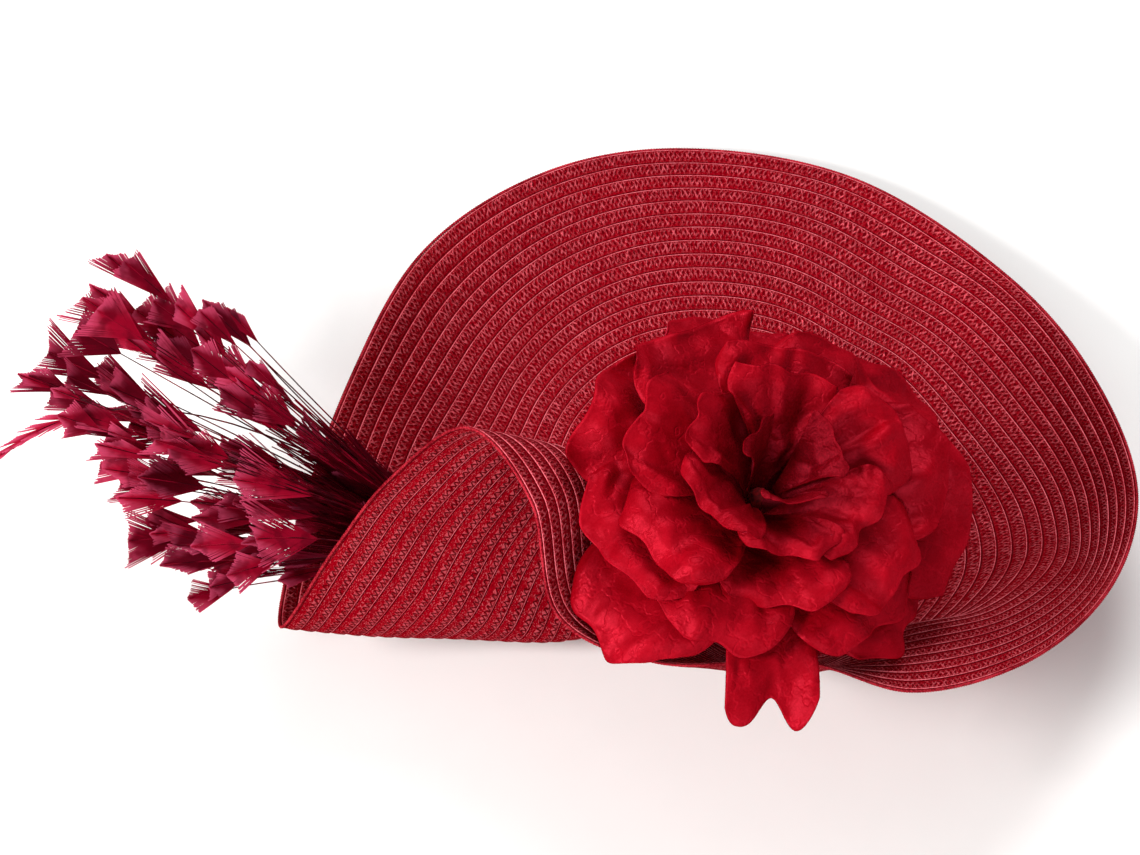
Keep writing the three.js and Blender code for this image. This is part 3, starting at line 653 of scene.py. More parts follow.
def winding_tree():
    """Slanted rings along a line, with a core"""
    sizes = dict.fromkeys(("core", "wrap", "ring", "spacing"), "Float")
    tree = Tree("Winding", **sizes, slant="Rotation", stretch="Vector", material="Material")
    given, curve = tree.given, tree.curve()
    core = tree.sweep(curve, 8, given["core"])
    path = tree.out("CurvePrimitiveCircle", Resolution=10, Radius=given["ring"])
    loop = tree.sweep(path, 3, given["wrap"])
    places = tree.node("CurveToPoints", mode="LENGTH", Curve=curve, Length=given["spacing"])
    points, turned = places.outputs["Points"], places.outputs["Rotation"]
    turned = tree.out(
        "FunctionNodeRotateRotation", turned, given["slant"], rotation_space="LOCAL"
    )
    loops = tree.out(
        "InstanceOnPoints", Points=points, Instance=loop, Rotation=turned, Scale=given["stretch"]
    )
    both = tree.node("JoinGeometry")
    for part in (core, loops):
        tree.group.links.new(part, both.inputs[0])
    return tree.finish(both.outputs[0])


def quill_tree():
    """Tapered stems. The attribute thick scales the radius along each one."""
    tree = Tree("Quills", radius="Float", material="Material")
    thick = tree.out("InputNamedAttribute", data_type="FLOAT", Name="thick")
    radius = tree.given["radius"]
    return tree.finish(tree.sweep(tree.curve(), 5, radius, Scale=thick, Fill_Caps=True))


def barb_tree():
    """One flat tapered barb on every point. Attributes: aim, lie and reach."""
    tree = Tree("Barbs", width="Float", bend="Float", material="Material")
    given = tree.given

    def read(name, kind="FLOAT_VECTOR"):
        return tree.out("InputNamedAttribute", data_type=kind, Name=name)

    def turned(axis, **named):
        return tree.out("FunctionNodeAlignRotationToVector", axis=axis, **named)

    def times(a, b):
        return tree.out("ShaderNodeMath", a, b, operation="MULTIPLY")

    flat = tree.out("MeshGrid", 1.0, given["width"], 5, 2)
    place = tree.node("ShaderNodeSeparateXYZ", tree.out("InputPosition")).outputs
    run = tree.out("ShaderNodeMath", place["X"], 0.5, operation="ADD")
    taper = tree.out("ShaderNodeMath", 1.0, times(run, 0.35), operation="SUBTRACT")
    rise = times(times(run, run), given["bend"])
    shaped = tree.out("ShaderNodeCombineXYZ", run, times(place["Y"], taper), rise)
    strip = tree.out("SetPosition", Geometry=flat, Position=shaped)
    strip = tree.out("StoreNamedAttribute", Geometry=strip, Name="run", Value=place["X"])
    aimed = turned("X", Vector=read("aim"))
    laid = turned("Z", pivot_axis="X", Rotation=aimed, Vector=read("lie"))
    reach = read("reach", "FLOAT")
    size = tree.out("ShaderNodeCombineXYZ", reach, 1.0, reach)
    points = tree.out("MeshToPoints", Mesh=given["geometry"])
    barbs = tree.out("InstanceOnPoints", Points=points, Instance=strip, Rotation=laid, Scale=size)
    return tree.finish(barbs)


class Value:
    """A socket that runs through a material. Python's signs add Math nodes."""

    def __init__(self, paint, socket):
        self.paint = paint
        self.socket = socket

    def __add__(self, other):
        return self.paint.maths("ADD", self, other)

    def __mul__(self, other):
        return self.paint.maths("MULTIPLY", self, other)

    def __sub__(self, other):
        return self.paint.maths("SUBTRACT", self, other)

    def __rsub__(self, other):
        return self.paint.maths("SUBTRACT", other, self)

    def __abs__(self):
        return self.paint.maths("ABSOLUTE", self)

    def __floor__(self):
        return self.paint.maths("FLOOR", self)

    __radd__ = __add__
    __rmul__ = __mul__


class Paint:
    """A material and the ways to write its nodes"""

    def __init__(self, name):
        self.material = bpy.data.materials.new(name)
        self.material.use_nodes = True
        self.tree = self.material.node_tree
        self.tree.nodes.clear()

    def add(self, kind, *values, out=0, **named):
        """Adds a shader node and gives one of its outputs"""
        return Value(self, add_node(self.tree, "ShaderNode" + kind, *values, **named).outputs[out])

    def maths(self, operation, first, second=0.0):
        return self.add("Math", first, second, operation=operation)

    def fraction(self, x):
        return self.maths("FRACT", x)

    def wave(self, x):
        """Sine of x turns, from 0 to 1"""
        return self.maths("SINE", x * (2 * math.pi)) * 0.5 + 0.5

    def larger(self, a, b):
        return self.maths("MAXIMUM", a, b)

    def smooth(self, x, low, high, start=0.0, end=1.0):
        return self.add("MapRange", x, low, high, start, end, interpolation_type="SMOOTHSTEP")

    def mix(self, factor, a, b):
        """Colour between a and b"""
        return self.add("Mix", Factor=factor, A=a, B=b, data_type="RGBA", out=2)

    def noise(self, vector, scale, detail=3.0, roughness=0.55):
        return self.add("TexNoise", Vector=vector, Scale=scale, Detail=detail, Roughness=roughness)

    def flecks(self, x, y, z=0.0, detail=1.0):
        """Noise over numbers, in place of coordinates"""
        return self.noise(self.add("CombineXYZ", x, y, z), 1.0, detail)

    def attribute(self, name):
        """A number kept on the piece"""
        return self.add("Attribute", attribute_name=name, out="Fac")

    def place(self):
        """Object coordinates"""
        return self.add("TexCoord", out="Object")

    def across(self):
        """The piece's own UV map as two numbers"""
        uv = self.add("UVMap", uv_map="UVMap")
        return [self.add("SeparateXYZ", uv, out=axis) for axis in "XY"]

    def bump(self, height, distance, strength=1.0, **more):
        return self.add("Bump", Height=height, Distance=distance, Strength=strength, **more)

    def finish(self, shade, rough, normal, gloss=None, through=None, **more):
        """Ends in the surface. Gloss is a share and a tint of shine in place of the plain one, and
        through a share and a tint of the light that passes the cloth."""
        if gloss:
            more["Specular_IOR_Level"] = 0.0
        surface = self.add(
            "BsdfPrincipled", Base_Color=shade, Roughness=rough, Normal=normal, **more
        )
        if gloss:
            shiny = self.add("BsdfGlossy", Color=gloss[1], Roughness=rough, Normal=normal)
            surface = self.add("MixShader", gloss[0], surface, shiny)
        if through:
            back = self.add("BsdfTranslucent", Color=through[1])
            surface = self.add("MixShader", through[0], surface, back)
        add_node(self.tree, "ShaderNodeOutputMaterial", surface)
        return self.material


def braid_material(name, colours, side):
    """Sewn straw braid. V counts the rows and U the plaits along each row."""
    paint = Paint(name)
    smooth, flecks, mix = paint.smooth, paint.flecks, paint.mix
    u, v = paint.across()
    row = math.floor(v)
    # distance from the row's lit edge, which is its outer edge on the open side
    f = 1.0 - paint.fraction(v) if side == "front" else paint.fraction(v)
    fine = flecks(u * 1.6, v * 34.0, detail=2.0)
    fleck = flecks(u * 3.4, v * 15.0, row * 1.7)
    drift = paint.noise(paint.place(), 22.0)
    row_tone = flecks(row * 3.7, u * 0.03)
    # strands cross the row on two slants, with small gaps between them
    shaken = u + flecks(u * 0.6, v * 2.1) * 0.9
    one, two = shaken + f * 1.35, shaken - f * 1.35
    first, second = paint.wave(one), paint.wave(two)
    chance = flecks(one * 1.3, two * 1.3, row * 5.1)
    split = flecks(one * 7.0, two * 1.2, row * 2.3)
    if side == "front":
        zone = smooth(f, 0.05, 0.12) * smooth(f, 0.62, 0.86, 1.0, 0.0)
        over = paint.larger(first, second)
        # nooks between the crossing strands: a dip in the relief, darkened below as painted shade
        nooks = smooth(first + second, 0.25, 0.7, 1.0, 0.0) * (zone * 0.42 + 0.12)
        # painted glints where the strands cross
        lights = smooth(over, 0.6, 0.95) * smooth(chance * 0.5 + split * 0.5, 0.46, 0.6)
        lights = lights * (zone * 0.85 + 0.15)
        # painted glint flecks
        glint_flecks = smooth(fleck, 0.62, 0.7) * 0.25
    else:
        # a strip of small loops with slits that run to and fro between them
        strip = (f - 0.1) * 2.5
        weave = abs(paint.fraction(shaken) - 0.5) * 2.0
        zone = smooth(strip, 0.0, 0.12) * smooth(strip, 0.9, 1.05, 1.0, 0.0)
        over = smooth(abs(weave - strip), 0.1, 0.34)
        # the slits: a dip in the relief, darkened below as painted shade
        nooks = zone * (1.0 - over) * 0.7
        # painted glints on the loops, and painted glint flecks
        lights = zone * over * smooth(chance, 0.4, 0.58) * 0.6
        glint_flecks = smooth(fleck, 0.58, 0.68) * 0.4
    puffs = zone * smooth(over, 0.3, 0.8)
    # the groove beside each row's thread, under the next row: a dip in the relief and painted shade
    groove = smooth(f, 0.86, 0.95)
    height = puffs * 0.5 + fine * 0.4 + lights * 0.2 - nooks * 0.6 - groove * 0.5
    # fine strand grain, darker where its relief is low, as painted shade between the strands
    strands_shaded = mix(smooth(fine, 0.34, 0.6), colours.straw_dark, colours.straw)
    varied = mix(smooth(row_tone, 0.35, 0.75) * 0.35, strands_shaded, colours.straw_dark)
    # painted glints and glint flecks
    lit = mix(paint.larger(lights * 0.6, glint_flecks), varied, colours.straw_thread_and_glint)
    # painted shade in the nooks, slits and groove
    deep = mix(paint.larger(groove * 0.7, nooks), lit, colours.straw_gap_shade)
    return paint.finish(
        mix(smooth(drift, 0.35, 0.7) * 0.12, deep, colours.straw),
        0.34 - lights * 0.08 + fine * 0.1,
        paint.bump(height, 0.0006),
        gloss=(lights * 0.4 + puffs * 0.05 + 0.015, colours.straw_rim),
    )


def plain_material(name, dark, shade, fine, slow, share, blend, rough, relief, **more):
    """Two colours blended by a fine noise and a slow one, each with its scale and detail. Share is
    the fine one's share, and blend says where it starts and ends and how far it goes."""
    paint = Paint(name)
    fine, slow = paint.noise(paint.place(), *fine), paint.noise(paint.place(), *slow)
    mask = paint.smooth(fine * share + slow * (1 - share), *blend[:2]) * blend[2]
    normal = paint.bump(fine, *relief)
    return paint.finish(paint.mix(mask, dark, shade), fine * rough[1] + rough[0], normal, **more)


def thread_material(name, shade, dark, scale=900.0):
    """Shiny twisted thread"""
    sizes, blend, relief = ((scale, 2.0), (60.0, 2.0)), (0.4, 0.62, 1.0), (0.0002, 0.5)
    rough = (0.38, 0.12)
    return plain_material(name, dark, shade, *sizes, 0.6, blend, rough, relief, gloss=(0.2, shade))


def cloth_material(name, shade, dark):
    """Plain wound cloth"""
    sizes, blend, relief = ((700.0, 2.0), (55.0, 3.0)), (0.35, 0.65, 1.0), (0.0002, 0.6)
    rough = (0.72, 0.15)
    return plain_material(
        name, dark, shade, *sizes, 0.5, blend, rough, relief, Specular_IOR_Level=0.2
    )


def silk_material(name, colours, face):
    """Satin petal. U runs across the petal and V from root to tip."""
    paint = Paint(name)
    smooth, noise, mix = paint.smooth, paint.noise, paint.mix
    u, v = paint.across()
    place = paint.place()
    crush = noise(place, 30.0, 4.0)
    crumple = noise(place, 85.0, 3.0, 0.6)
    pressed = smooth(abs(noise(place, 34.0, 2.0) - 0.5), 0.0, 0.1)
    fine = smooth(abs(noise(place, 72.0, 3.0, 0.6) - 0.5), 0.0, 0.045)
    weave = paint.wave(u * 150.0) * 0.5 + paint.wave(v * 190.0) * 0.5
    grain = noise(place, 1100.0, 2.0)
    rim = paint.larger(smooth(abs(u - 0.5), 0.49, 0.5), smooth(v, 0.98, 0.998))
    # light is each face's painted highlight colour
    main, light = colours.silk, colours.silk_highlight_and_through
    if face == "back":
        main, light = colours.silk_back, colours.silk_sheen
    # painted highlight on the raised crumples, painted shade in their hollows, and painted highlight along the sharp
    # creases
    varied = mix(smooth(crush * 0.6 + crumple * 0.4, 0.46, 0.64) * 0.35, main, light)
    shaded = mix(smooth(crush, 0.3, 0.5, 1.0, 0.0) * 0.25, varied, colours.silk_dark)
    crease_lit = mix((1.0 - fine) * 0.16, shaded, light)
    # painted shade deep in the flower
    deep = mix(paint.attribute("heart") * 0.85, crease_lit, colours.silk_dark)
    # grain and weave, lightened below as painted sparkle
    sparkle = smooth(grain * 0.6 + weave * 0.4, 0.4, 0.62)
    creased = paint.bump(crush * 0.35 + crumple * 0.1 + pressed * 0.22 + fine * 0.09, 0.003, 0.6)
    # painted highlight along the petal's free edge
    return paint.finish(
        mix(rim * 0.2, mix(sparkle * 0.25, deep, light), colours.silk_highlight_and_through),
        0.36 + crush * 0.16 - weave * 0.05,
        paint.bump(weave * 0.5 + grain * 0.5, 0.00012, 0.5, Normal=creased),
        gloss=(sparkle * 0.07 + 0.08, colours.silk_sheen),
        through=(0.1, colours.silk_highlight_and_through),
    )


def barb_material(colours):
    """Feather barbs, paler and thinner towards their ends"""
    paint = Paint("feather_barb")
    smooth = paint.smooth
    run, tint = paint.attribute("run"), paint.attribute("tint")
    grain = paint.noise(paint.place(), 120.0, 2.0)
    feather = paint.mix(smooth(tint, 0.0, 0.9), colours.barb_dark, colours.barb)
    pale = smooth(run * 0.7 + grain * 0.3 + tint * 0.25, 0.55, 1.15) * smooth(tint, 0.0, 0.1)
    shade = paint.mix(pale, feather, colours.barb_tip)
    return paint.finish(
        paint.mix(smooth(grain, 0.35, 0.52, 1.0, 0.0) * 0.5, shade, colours.barb_dark),
        grain * 0.15 + 0.5,
        paint.bump(grain, 0.0002, 0.3),
        gloss=(0.04, colours.barb_tip),
        through=(0.25, colours.barb),
    )


def quill_material(colours):
    """Stripped stems, blotched with the barbs' colour"""
    sizes, blend, relief = ((800.0, 2.0), (90.0, 3.0)), (0.42, 0.66, 0.55), (0.0001, 0.4)
    ends, shine = (colours.quill, colours.barb), {"Specular_IOR_Level": 0.4}
    rough = (0.36, 0.18)
    return plain_material(
        "feather_quill", *ends, *sizes, 0, blend, rough, relief, Specular_Tint=colours.barb, **shine
    )


def comb_material(colours):
    """Moulded plastic with fine flow marks"""
    sizes, blend, relief = ((1300.0, 2.0), (42.0, 4.0)), (0.4, 0.68, 0.5), (0.00005, 0.3)
    brown = (*(min(1.0, c * 2.2) for c in colours.comb[:3]), 1.0)
    ends, rough, coat = (colours.comb, brown), (0.26, 0.14), {"Coat_Weight": 0.3}
    return plain_material(
        "comb_plastic", *ends, *sizes, 0, blend, rough, relief, Coat_Roughness=0.2, **coat
    )


def settings():
    scene = bpy.context.scene
    return scene.fascinator_sizes, scene.fascinator_colours


# Pieces


class FASCINATOR_OT_stage(bpy.types.Operator):
    """Floor, soft lights and the camera at the angle of the picture"""

    bl_idname = "fascinator.stage"
    bl_label = "Stage"

    MM_PER_PIXEL = 0.42
    PICTURE = (1140, 855)
    DISC_PIXEL = (738, 540)
    DISTANCE = 5.0
    FLOOR = 6.0
    DAYLIGHT = 0.38
    # name, direction from the hat, distance, size of the light, power, colour
    LIGHTS = (
        ("key", (-0.75, -0.5, 0.8), 1.7, 0.5, 27, (1.0, 0.98, 0.96)),
        ("top", (0.1, 0.6, 0.9), 1.7, 1.1, 20, (1.0, 1.0, 1.0)),
        ("front", (0.3, -1.0, 0.5), 1.9, 1.0, 12, (0.98, 0.99, 1.0)),
    )

    def execute(self, context):
        scene, (_, colours) = context.scene, settings()
        paint = Paint("floor_paper")
        place = paint.place()
        light = tuple(colours.floor)
        dim = (*(c * 0.96 for c in light[:3]), 1.0)
        mottled = paint.mix(paint.noise(place, 30.0, 4.0), dim, light)
        normal = paint.bump(paint.noise(place, 500.0, 2.0), 0.0001, 0.2)
        corner = ((-1, -1, 0), (1, -1, 0), (1, 1, 0), (-1, 1, 0))
        paper = paint.finish(mottled, 0.8, normal)
        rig.stage(new_mesh("floor", np.array(corner) * self.FLOOR, [(0, 1, 2, 3)], paper))
        width, height = self.PICTURE
        across, up = width / 2 - self.DISC_PIXEL[0], self.DISC_PIXEL[1] - height / 2
        target = to_world((across * self.MM_PER_PIXEL, up * self.MM_PER_PIXEL, 30))
        data = bpy.data.cameras.new("camera")
        data.lens = data.sensor_width * self.DISTANCE / (width * self.MM_PER_PIXEL * MM)
        data.clip_end = 50
        camera = add_object("camera", data)
        camera.location = Vector(target + turn_to_world((0, 0, 1)) * self.DISTANCE)
        camera.rotation_euler = (math.radians(90 - REST_LEAN), 0, 0)
        scene.camera = camera
        for name, direction, distance, size, power, shade in self.LIGHTS:
            data = bpy.data.lights.new(name, "AREA")
            data.shape = "DISK"
            data.size, data.energy, data.color = size, power, shade
            lamp, way = add_object(name, data), Vector(direction).normalized()
            lamp.location = way * distance
            lamp.rotation_euler = way.to_track_quat("Z", "Y").to_euler()
        scene.world = bpy.data.worlds.new("studio")
        scene.world.use_nodes = True
        sky = scene.world.node_tree.nodes["Background"].inputs
        sky[0].default_value = (1, 1, 1, 1)
        sky[1].default_value = self.DAYLIGHT
        scene.view_settings.view_transform = "Standard"
        return {"FINISHED"}


class FASCINATOR_OT_braid_disc(bpy.types.Operator):
    """Folded disc with its rows standing up one behind the other on both faces"""

    bl_idname = "fascinator.braid_disc"
    bl_label = "Braid disc"

    COUNT = 328

    def side(self, way, profile):
        """Points of one face from its middle outwards, and how many rows out each ring lies"""
        steps = [(row + f, h) for row in range(ROWS) for f, h in profile][1:] + [(ROWS, 0.0)]
        turns, heights = np.array(steps).T
        points, normals = disc_grid(self.COUNT, np.append(0.0, turns / ROWS))
        lifts = DISC_HALF + np.append(0.0, heights)
        points = points + normals * way * lifts[:, None]
        return np.concatenate((points[0, :1], points[:, 1:].reshape(-1, 3))), turns

    def execute(self, context):
        _, colours = settings()
        (front, turns), (back, back_turns) = self.side(1, ROW_FRONT), self.side(-1, ROW_BACK)
        count, rings, half = self.COUNT, len(turns), len(front)
        plaits = 2 * math.pi * (np.arange(ROWS) + 0.5) / ROWS * DISC_RADIUS / PLAIT_LENGTH
        plaits = np.maximum(1, np.round(plaits)).tolist()
        faces, uv, sides = [], [], []
        for side, turns in enumerate((turns.tolist(), back_turns.tolist())):
            middle = side * half
            for i in range(count):
                a, b = middle + i * rings, middle + (i + 1) % count * rings
                # each cell: point, 0 on its left or 1 on its right, rows out
                cell = [(middle, 0, 0), (a + 1, 0, turns[0]), (b + 1, 1, turns[0])]
                row = 0
                for k in range(1, rings + 1):
                    order = cell[::-1] if side else cell
                    faces.append([point for point, _, _ in order])
                    uv.extend(((i + right) / count * plaits[row], out) for _, right, out in order)
                    sides.append(side)
                    if k < rings:
                        row = int(turns[k - 1])
                        low, high = turns[k - 1], min(turns[k], row + 0.999)
                        cell = [(a + k, 0, low), (a + k + 1, 0, high)]
                        cell += [(b + k + 1, 1, high), (b + k, 1, low)]
        for i in range(count):
            a, b = (i + 1) * rings, ((i + 1) % count + 1) * rings
            faces.append([a, half + a, half + b, b])
            uv.extend([(0, ROWS - 0.5)] * 4)
            sides.append(0)
        # straw that rests on the floor is pressed flat
        pressed = np.maximum(to_world(np.concatenate((front, back))), (-1, -1, 0))
        straw = [braid_material("braid_" + face, colours, face) for face in ("front", "back")]
        disc = new_mesh("braid_disc", pressed, faces, *straw)
        disc.data.polygons.foreach_set("material_index", sides)
        set_uv(disc.data, uv)
        add_piece(disc, "straw", "brim")
        return {"FINISHED"}


class FASCINATOR_OT_edge_threads(bpy.types.Operator):
    """Light thread along the edge of every braid row, on both faces"""

    bl_idname = "fascinator.edge_threads"
    bl_label = "Edge threads"

    LIFT = 0.25
    # face, way out of it, place of the thread in its row, first row
    FACES = (("front", 1, THREAD_FRONT, 0), ("back", -1, THREAD_BACK, 1))

    def execute(self, context):
        sizes, colours = settings()
        tree = thread_tree()
        for face, way, place, first in self.FACES:
            name = "edge_threads_" + face
            points, normals = disc_grid(240, (np.arange(first, ROWS) + place) / ROWS)
            lifted = points + normals * way * (DISC_HALF + self.LIFT)
            above = np.maximum(to_world(lifted.transpose(1, 0, 2)), (-1, -1, sizes.thread))
            shiny = thread_material(name, colours.straw_thread_and_glint, colours.straw_rim, 1100.0)
            tree.grow(name, "straw", (), above, True, radius=sizes.thread, material=shiny)
        return {"FINISHED"}


class FASCINATOR_OT_bound_rim(bpy.types.Operator):
    """Wired rim of the disc, closely wound with thread"""

    bl_idname = "fascinator.bound_rim"
    bl_label = "Bound rim"

    OUT = 0.75

    def execute(self, context):
        sizes, colours = settings()
        points, _ = disc_grid(360, (0.98, 1.0))
        path = points[:, 1] + unit(points[:, 1] - points[:, 0]) * self.OUT
        shiny = thread_material("rim_thread", colours.straw_rim, colours.straw_dark, 1300.0)
        core, wrap, step = sizes.rim_core, sizes.rim_wrap, sizes.rim_spacing
        turned = {"slant": (0.35, 0.0, 0.0), "stretch": (1.0, 1.0, 1.0), "material": shiny}
        winding_tree().grow(
            "bound_rim", "wired_edge", ("rim_wire",), [to_world(path)], True,
            core=core, wrap=wrap, ring=core, spacing=step, **turned,
        )
        return {"FINISHED"}


class FASCINATOR_OT_petals(bpy.types.Operator):
    """Cupped and creased cloth petals in five layers, with their sealed edges"""

    bl_idname = "fascinator.petals"
    bl_label = "Petals"

    ALONG = 46
    ACROSS = 40

    def surface(self, dice, layer, direction, reach, half, curl, lift, notch, *looks):
        """Grid of points of one petal in the flower frame"""
        root, middle, tip, spread, step, foot = LAYERS[layer]
        t = np.linspace(0, 1, self.ALONG + 1)[:, None]
        v = np.linspace(-1, 1, self.ACROSS + 1)[None, :]
        # a deeply notched petal keeps its width to the tip
        full = float(smooth(notch, 6, 8))
        round_off = 1 - 0.16 * (1 - full) * v**2 * t**2 - 0.1 * full * v**6 * t**2
        dip = notch / reach * t**4 * np.exp(-9 * v**2)
        x = foot + (reach - foot) * t * (round_off - dip)
        wide = np.sin(np.pi * (0.03 + 0.66 * t**0.85)) * (1 - full)
        wide = wide + full * (0.1 + 0.9 * smooth(t, 0, 0.55))
        # the outline wavers a little towards the tip
        lobes = np.sin(4.2 * v + dice.uniform(0, 6)) + 0.4 * np.sin(8 * v + dice.uniform(0, 6))
        x = x * (1 + 0.03 * t**3 * lobes)
        y = v * half * (0.1 + 0.9 * wide)
        radius = np.hypot(x, y * smooth(t, 0, NARROW_SHARE))
        share = (radius - foot) / (spread - foot)
        bowed = (4 * middle - 3 * root - tip) * share + 2 * (root + tip - 2 * middle) * share**2
        limit = np.radians(ROOT_SLICE + SLICE_OPENS * t**1.6)
        swing = limit * np.tanh(np.arctan2(y, x) / limit)
        spiral = step * swing * np.minimum(1, share * 4) / math.radians(60)
        height = root + bowed + spiral + curl * np.clip((t - 0.6) / 0.4, 0, 1) ** 2 + lift * t
        turn = swing + math.radians(direction)
        near = np.minimum(1.1, radius / RUFFLE_REACH)
        for tall, waves, start in RUFFLES:
            height = height + tall * near**2 * np.sin(waves * turn + math.radians(start))
        points = np.stack((radius * np.cos(turn), radius * np.sin(turn), height), -1)
        normals = unit(np.cross(np.gradient(points, axis=0), np.gradient(points, axis=1)))
        relief = self.relief(dice, t, v, *looks) * min(1.0, reach / 70)
        return points + normals * relief[..., None]

    def relief(self, dice, t, v, roll, crease, twist):
        """Creases, ruffled edge, rolled tip and twist, as a height over the smooth petal"""
        out = 0
        # soft folds that run out from the root
        for _ in range(4):
            centre, drift = dice.uniform(-0.8, 0.8), dice.uniform(-0.5, 0.5)
            width, start = dice.uniform(0.14, 0.3), dice.uniform(0.15, 0.5)
            line = centre * (0.55 + 0.45 * t) + drift * (t - 0.4) ** 2
            ridge = np.exp(-(((v - line) / width) ** 2)) * smooth(t, start, start + 0.4)
            tall = dice.uniform(0.5, 1.2) * dice.choice((-1, 1)) * crease * 2.0
            out = out + tall * ridge * (1 - 0.3 * t)
        # crumples that lie every way
        for _ in range(14):
            place, middle = dice.uniform(0.3, 0.95), dice.uniform(-0.9, 0.9)
            way, width = dice.uniform(0, math.pi), dice.uniform(0.06, 0.16)
            p, q = (t - place) * 1.5, v - middle
            off, run = p * math.sin(way) - q * math.cos(way), p * math.cos(way) + q * math.sin(way)
            fold = np.exp(-((off / width) ** 2) - (run / dice.uniform(0.25, 0.6)) ** 2)
            out = out + dice.uniform(0.5, 1.3) * dice.choice((-1, 1)) * crease * fold
        # slow waves of the free edge
        edge = np.abs(v) ** 4 * smooth(t, 0.25, 0.7) + smooth(t, 0.7, 1.0) * 0.9
        waves = np.sin(3.1 * t + 2.6 * v + dice.uniform(0, 6))
        waves = waves + 0.4 * np.sin(7 * t - 5 * v + dice.uniform(0, 6))
        outer = np.maximum(t, np.abs(v) * smooth(t, 0.3, 0.7))
        rolled = roll * smooth(outer, 0.8, 1.0) ** 1.5
        return out + 2.1 * np.clip(edge, 0, 1) * waves - rolled + twist * v * t**2

    def cut(self, points):
        """Size of the flat piece that a petal is cut from, in metres"""
        along, across = lengths_along(points.swapaxes(0, 1)).max(), lengths_along(points).max()
        a, b, c, d = corners(points)
        area = np.linalg.norm(np.cross(c - a, d - b), axis=2).sum() / 2
        return {"flat": (float(across) * MM, float(along) * MM), "area": float(area) * MM * MM}

    def execute(self, context):
        sizes, colours = settings()
        silk = [silk_material("silk_" + face, colours, face) for face in ("front", "back")]
        rows, columns = self.ALONG + 1, self.ACROSS + 1
        faces = np.stack(corners(np.arange(rows * columns).reshape(rows, columns)), -1)
        uv = np.stack((faces % columns / self.ACROSS, faces // columns / self.ALONG), -1)
        faces = faces.reshape(-1, 4).tolist()
        edges = []
        for number, (name, *shape) in enumerate(PETALS):
            points = self.surface(np.random.default_rng(500 + number), *shape)
            world = to_world(from_flower(points))
            petal = new_mesh("silk_" + name, world, faces, *silk)
            set_uv(petal.data, uv)
            # How deep in the flower each point lies; the petal material darkens it there as painted shade
            depth = 1 - smooth(np.hypot(points[..., 0], points[..., 1]), 10, 52)
            set_attribute(petal.data, "heart", depth.ravel())
            wall = petal.modifiers.new("Cloth", "SOLIDIFY")
            wall.thickness, wall.offset, wall.material_offset = sizes.petal_wall, 0, 1
            add_piece(petal, "silk", "petal_" + name)
            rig.sheet(petal, held="gathered", **self.cut(points))
            edges.append(np.concatenate((world[3:, 0], world[-1, 1:], world[-2:2:-1, -1])))
        sealed = thread_material("petal_edge", colours.silk, colours.silk_dark, 700.0)
        thread_tree().grow(
            "petal_edges", "silk", (), edges, radius=sizes.petal_hem, material=sealed
        )
        return {"FINISHED"}


class FASCINATOR_OT_flower_middle(bpy.types.Operator):
    """Gathered button in the heart of the flower and the wound stem under it"""

    bl_idname = "fascinator.flower_middle"
    bl_label = "Flower middle"

    def button(self, dark):
        turns = 2 * np.pi * np.arange(48) / 48
        rings = []
        for polar in np.pi * np.linspace(0.02, 0.98, 15):
            tall = 3.9 * math.cos(polar) - 0.8 * math.exp(-((polar / 0.35) ** 2))
            wide = 4.9 * math.sin(polar) * (1 + 0.05 * np.sin(12 * turns) * math.sin(polar))
            rings.append(ring((0, 0, BUTTON_HEIGHT + tall), (1, 0, 0), (0, 1, 0), wide))
        return new_tube("gathered_button", from_flower(rings), dark)

    def stem(self, dark):
        foot, normal, _ = disc_place(STEM_ANGLE, STEM_SHARE)
        start, end = np.array(FLOWER_ROOT, float), foot + normal * STEM_CLEAR
        reach = np.linalg.norm(end - start) * 0.4
        a, b = start - FLOWER_Z * reach, end + normal * reach
        rings = []
        for t in np.linspace(0, 1, 91):
            s = 1 - t
            centre = s**3 * start + 3 * t * s**2 * a + 3 * t * t * s * b + t**3 * end
            ahead = unit(s**2 * (a - start) + 2 * t * s * (b - a) + t * t * (end - b))
            right = unit(np.array((1.0, 0, 0)) - ahead * ahead[0])
            near = max(0.0, 1 - s / 0.2)
            radius = math.sqrt(1 - 0.85 * near**2) * (6 + 6 * s**3) - 0.3
            radii = radius + wound(40, t * 13, 0.3)
            rings.append(ring(centre, right, np.cross(ahead, right), radii))
        return new_tube("wound_stem", rings, dark, inside_out=True)

    def execute(self, context):
        _, colours = settings()
        dark = cloth_material("wound_cloth", colours.silk, colours.silk_dark)
        add_piece(self.button(dark), "stem_wrap", "flower_button")
        add_piece(self.stem(dark), "stem_wrap", "flower_base")
        return {"FINISHED"}


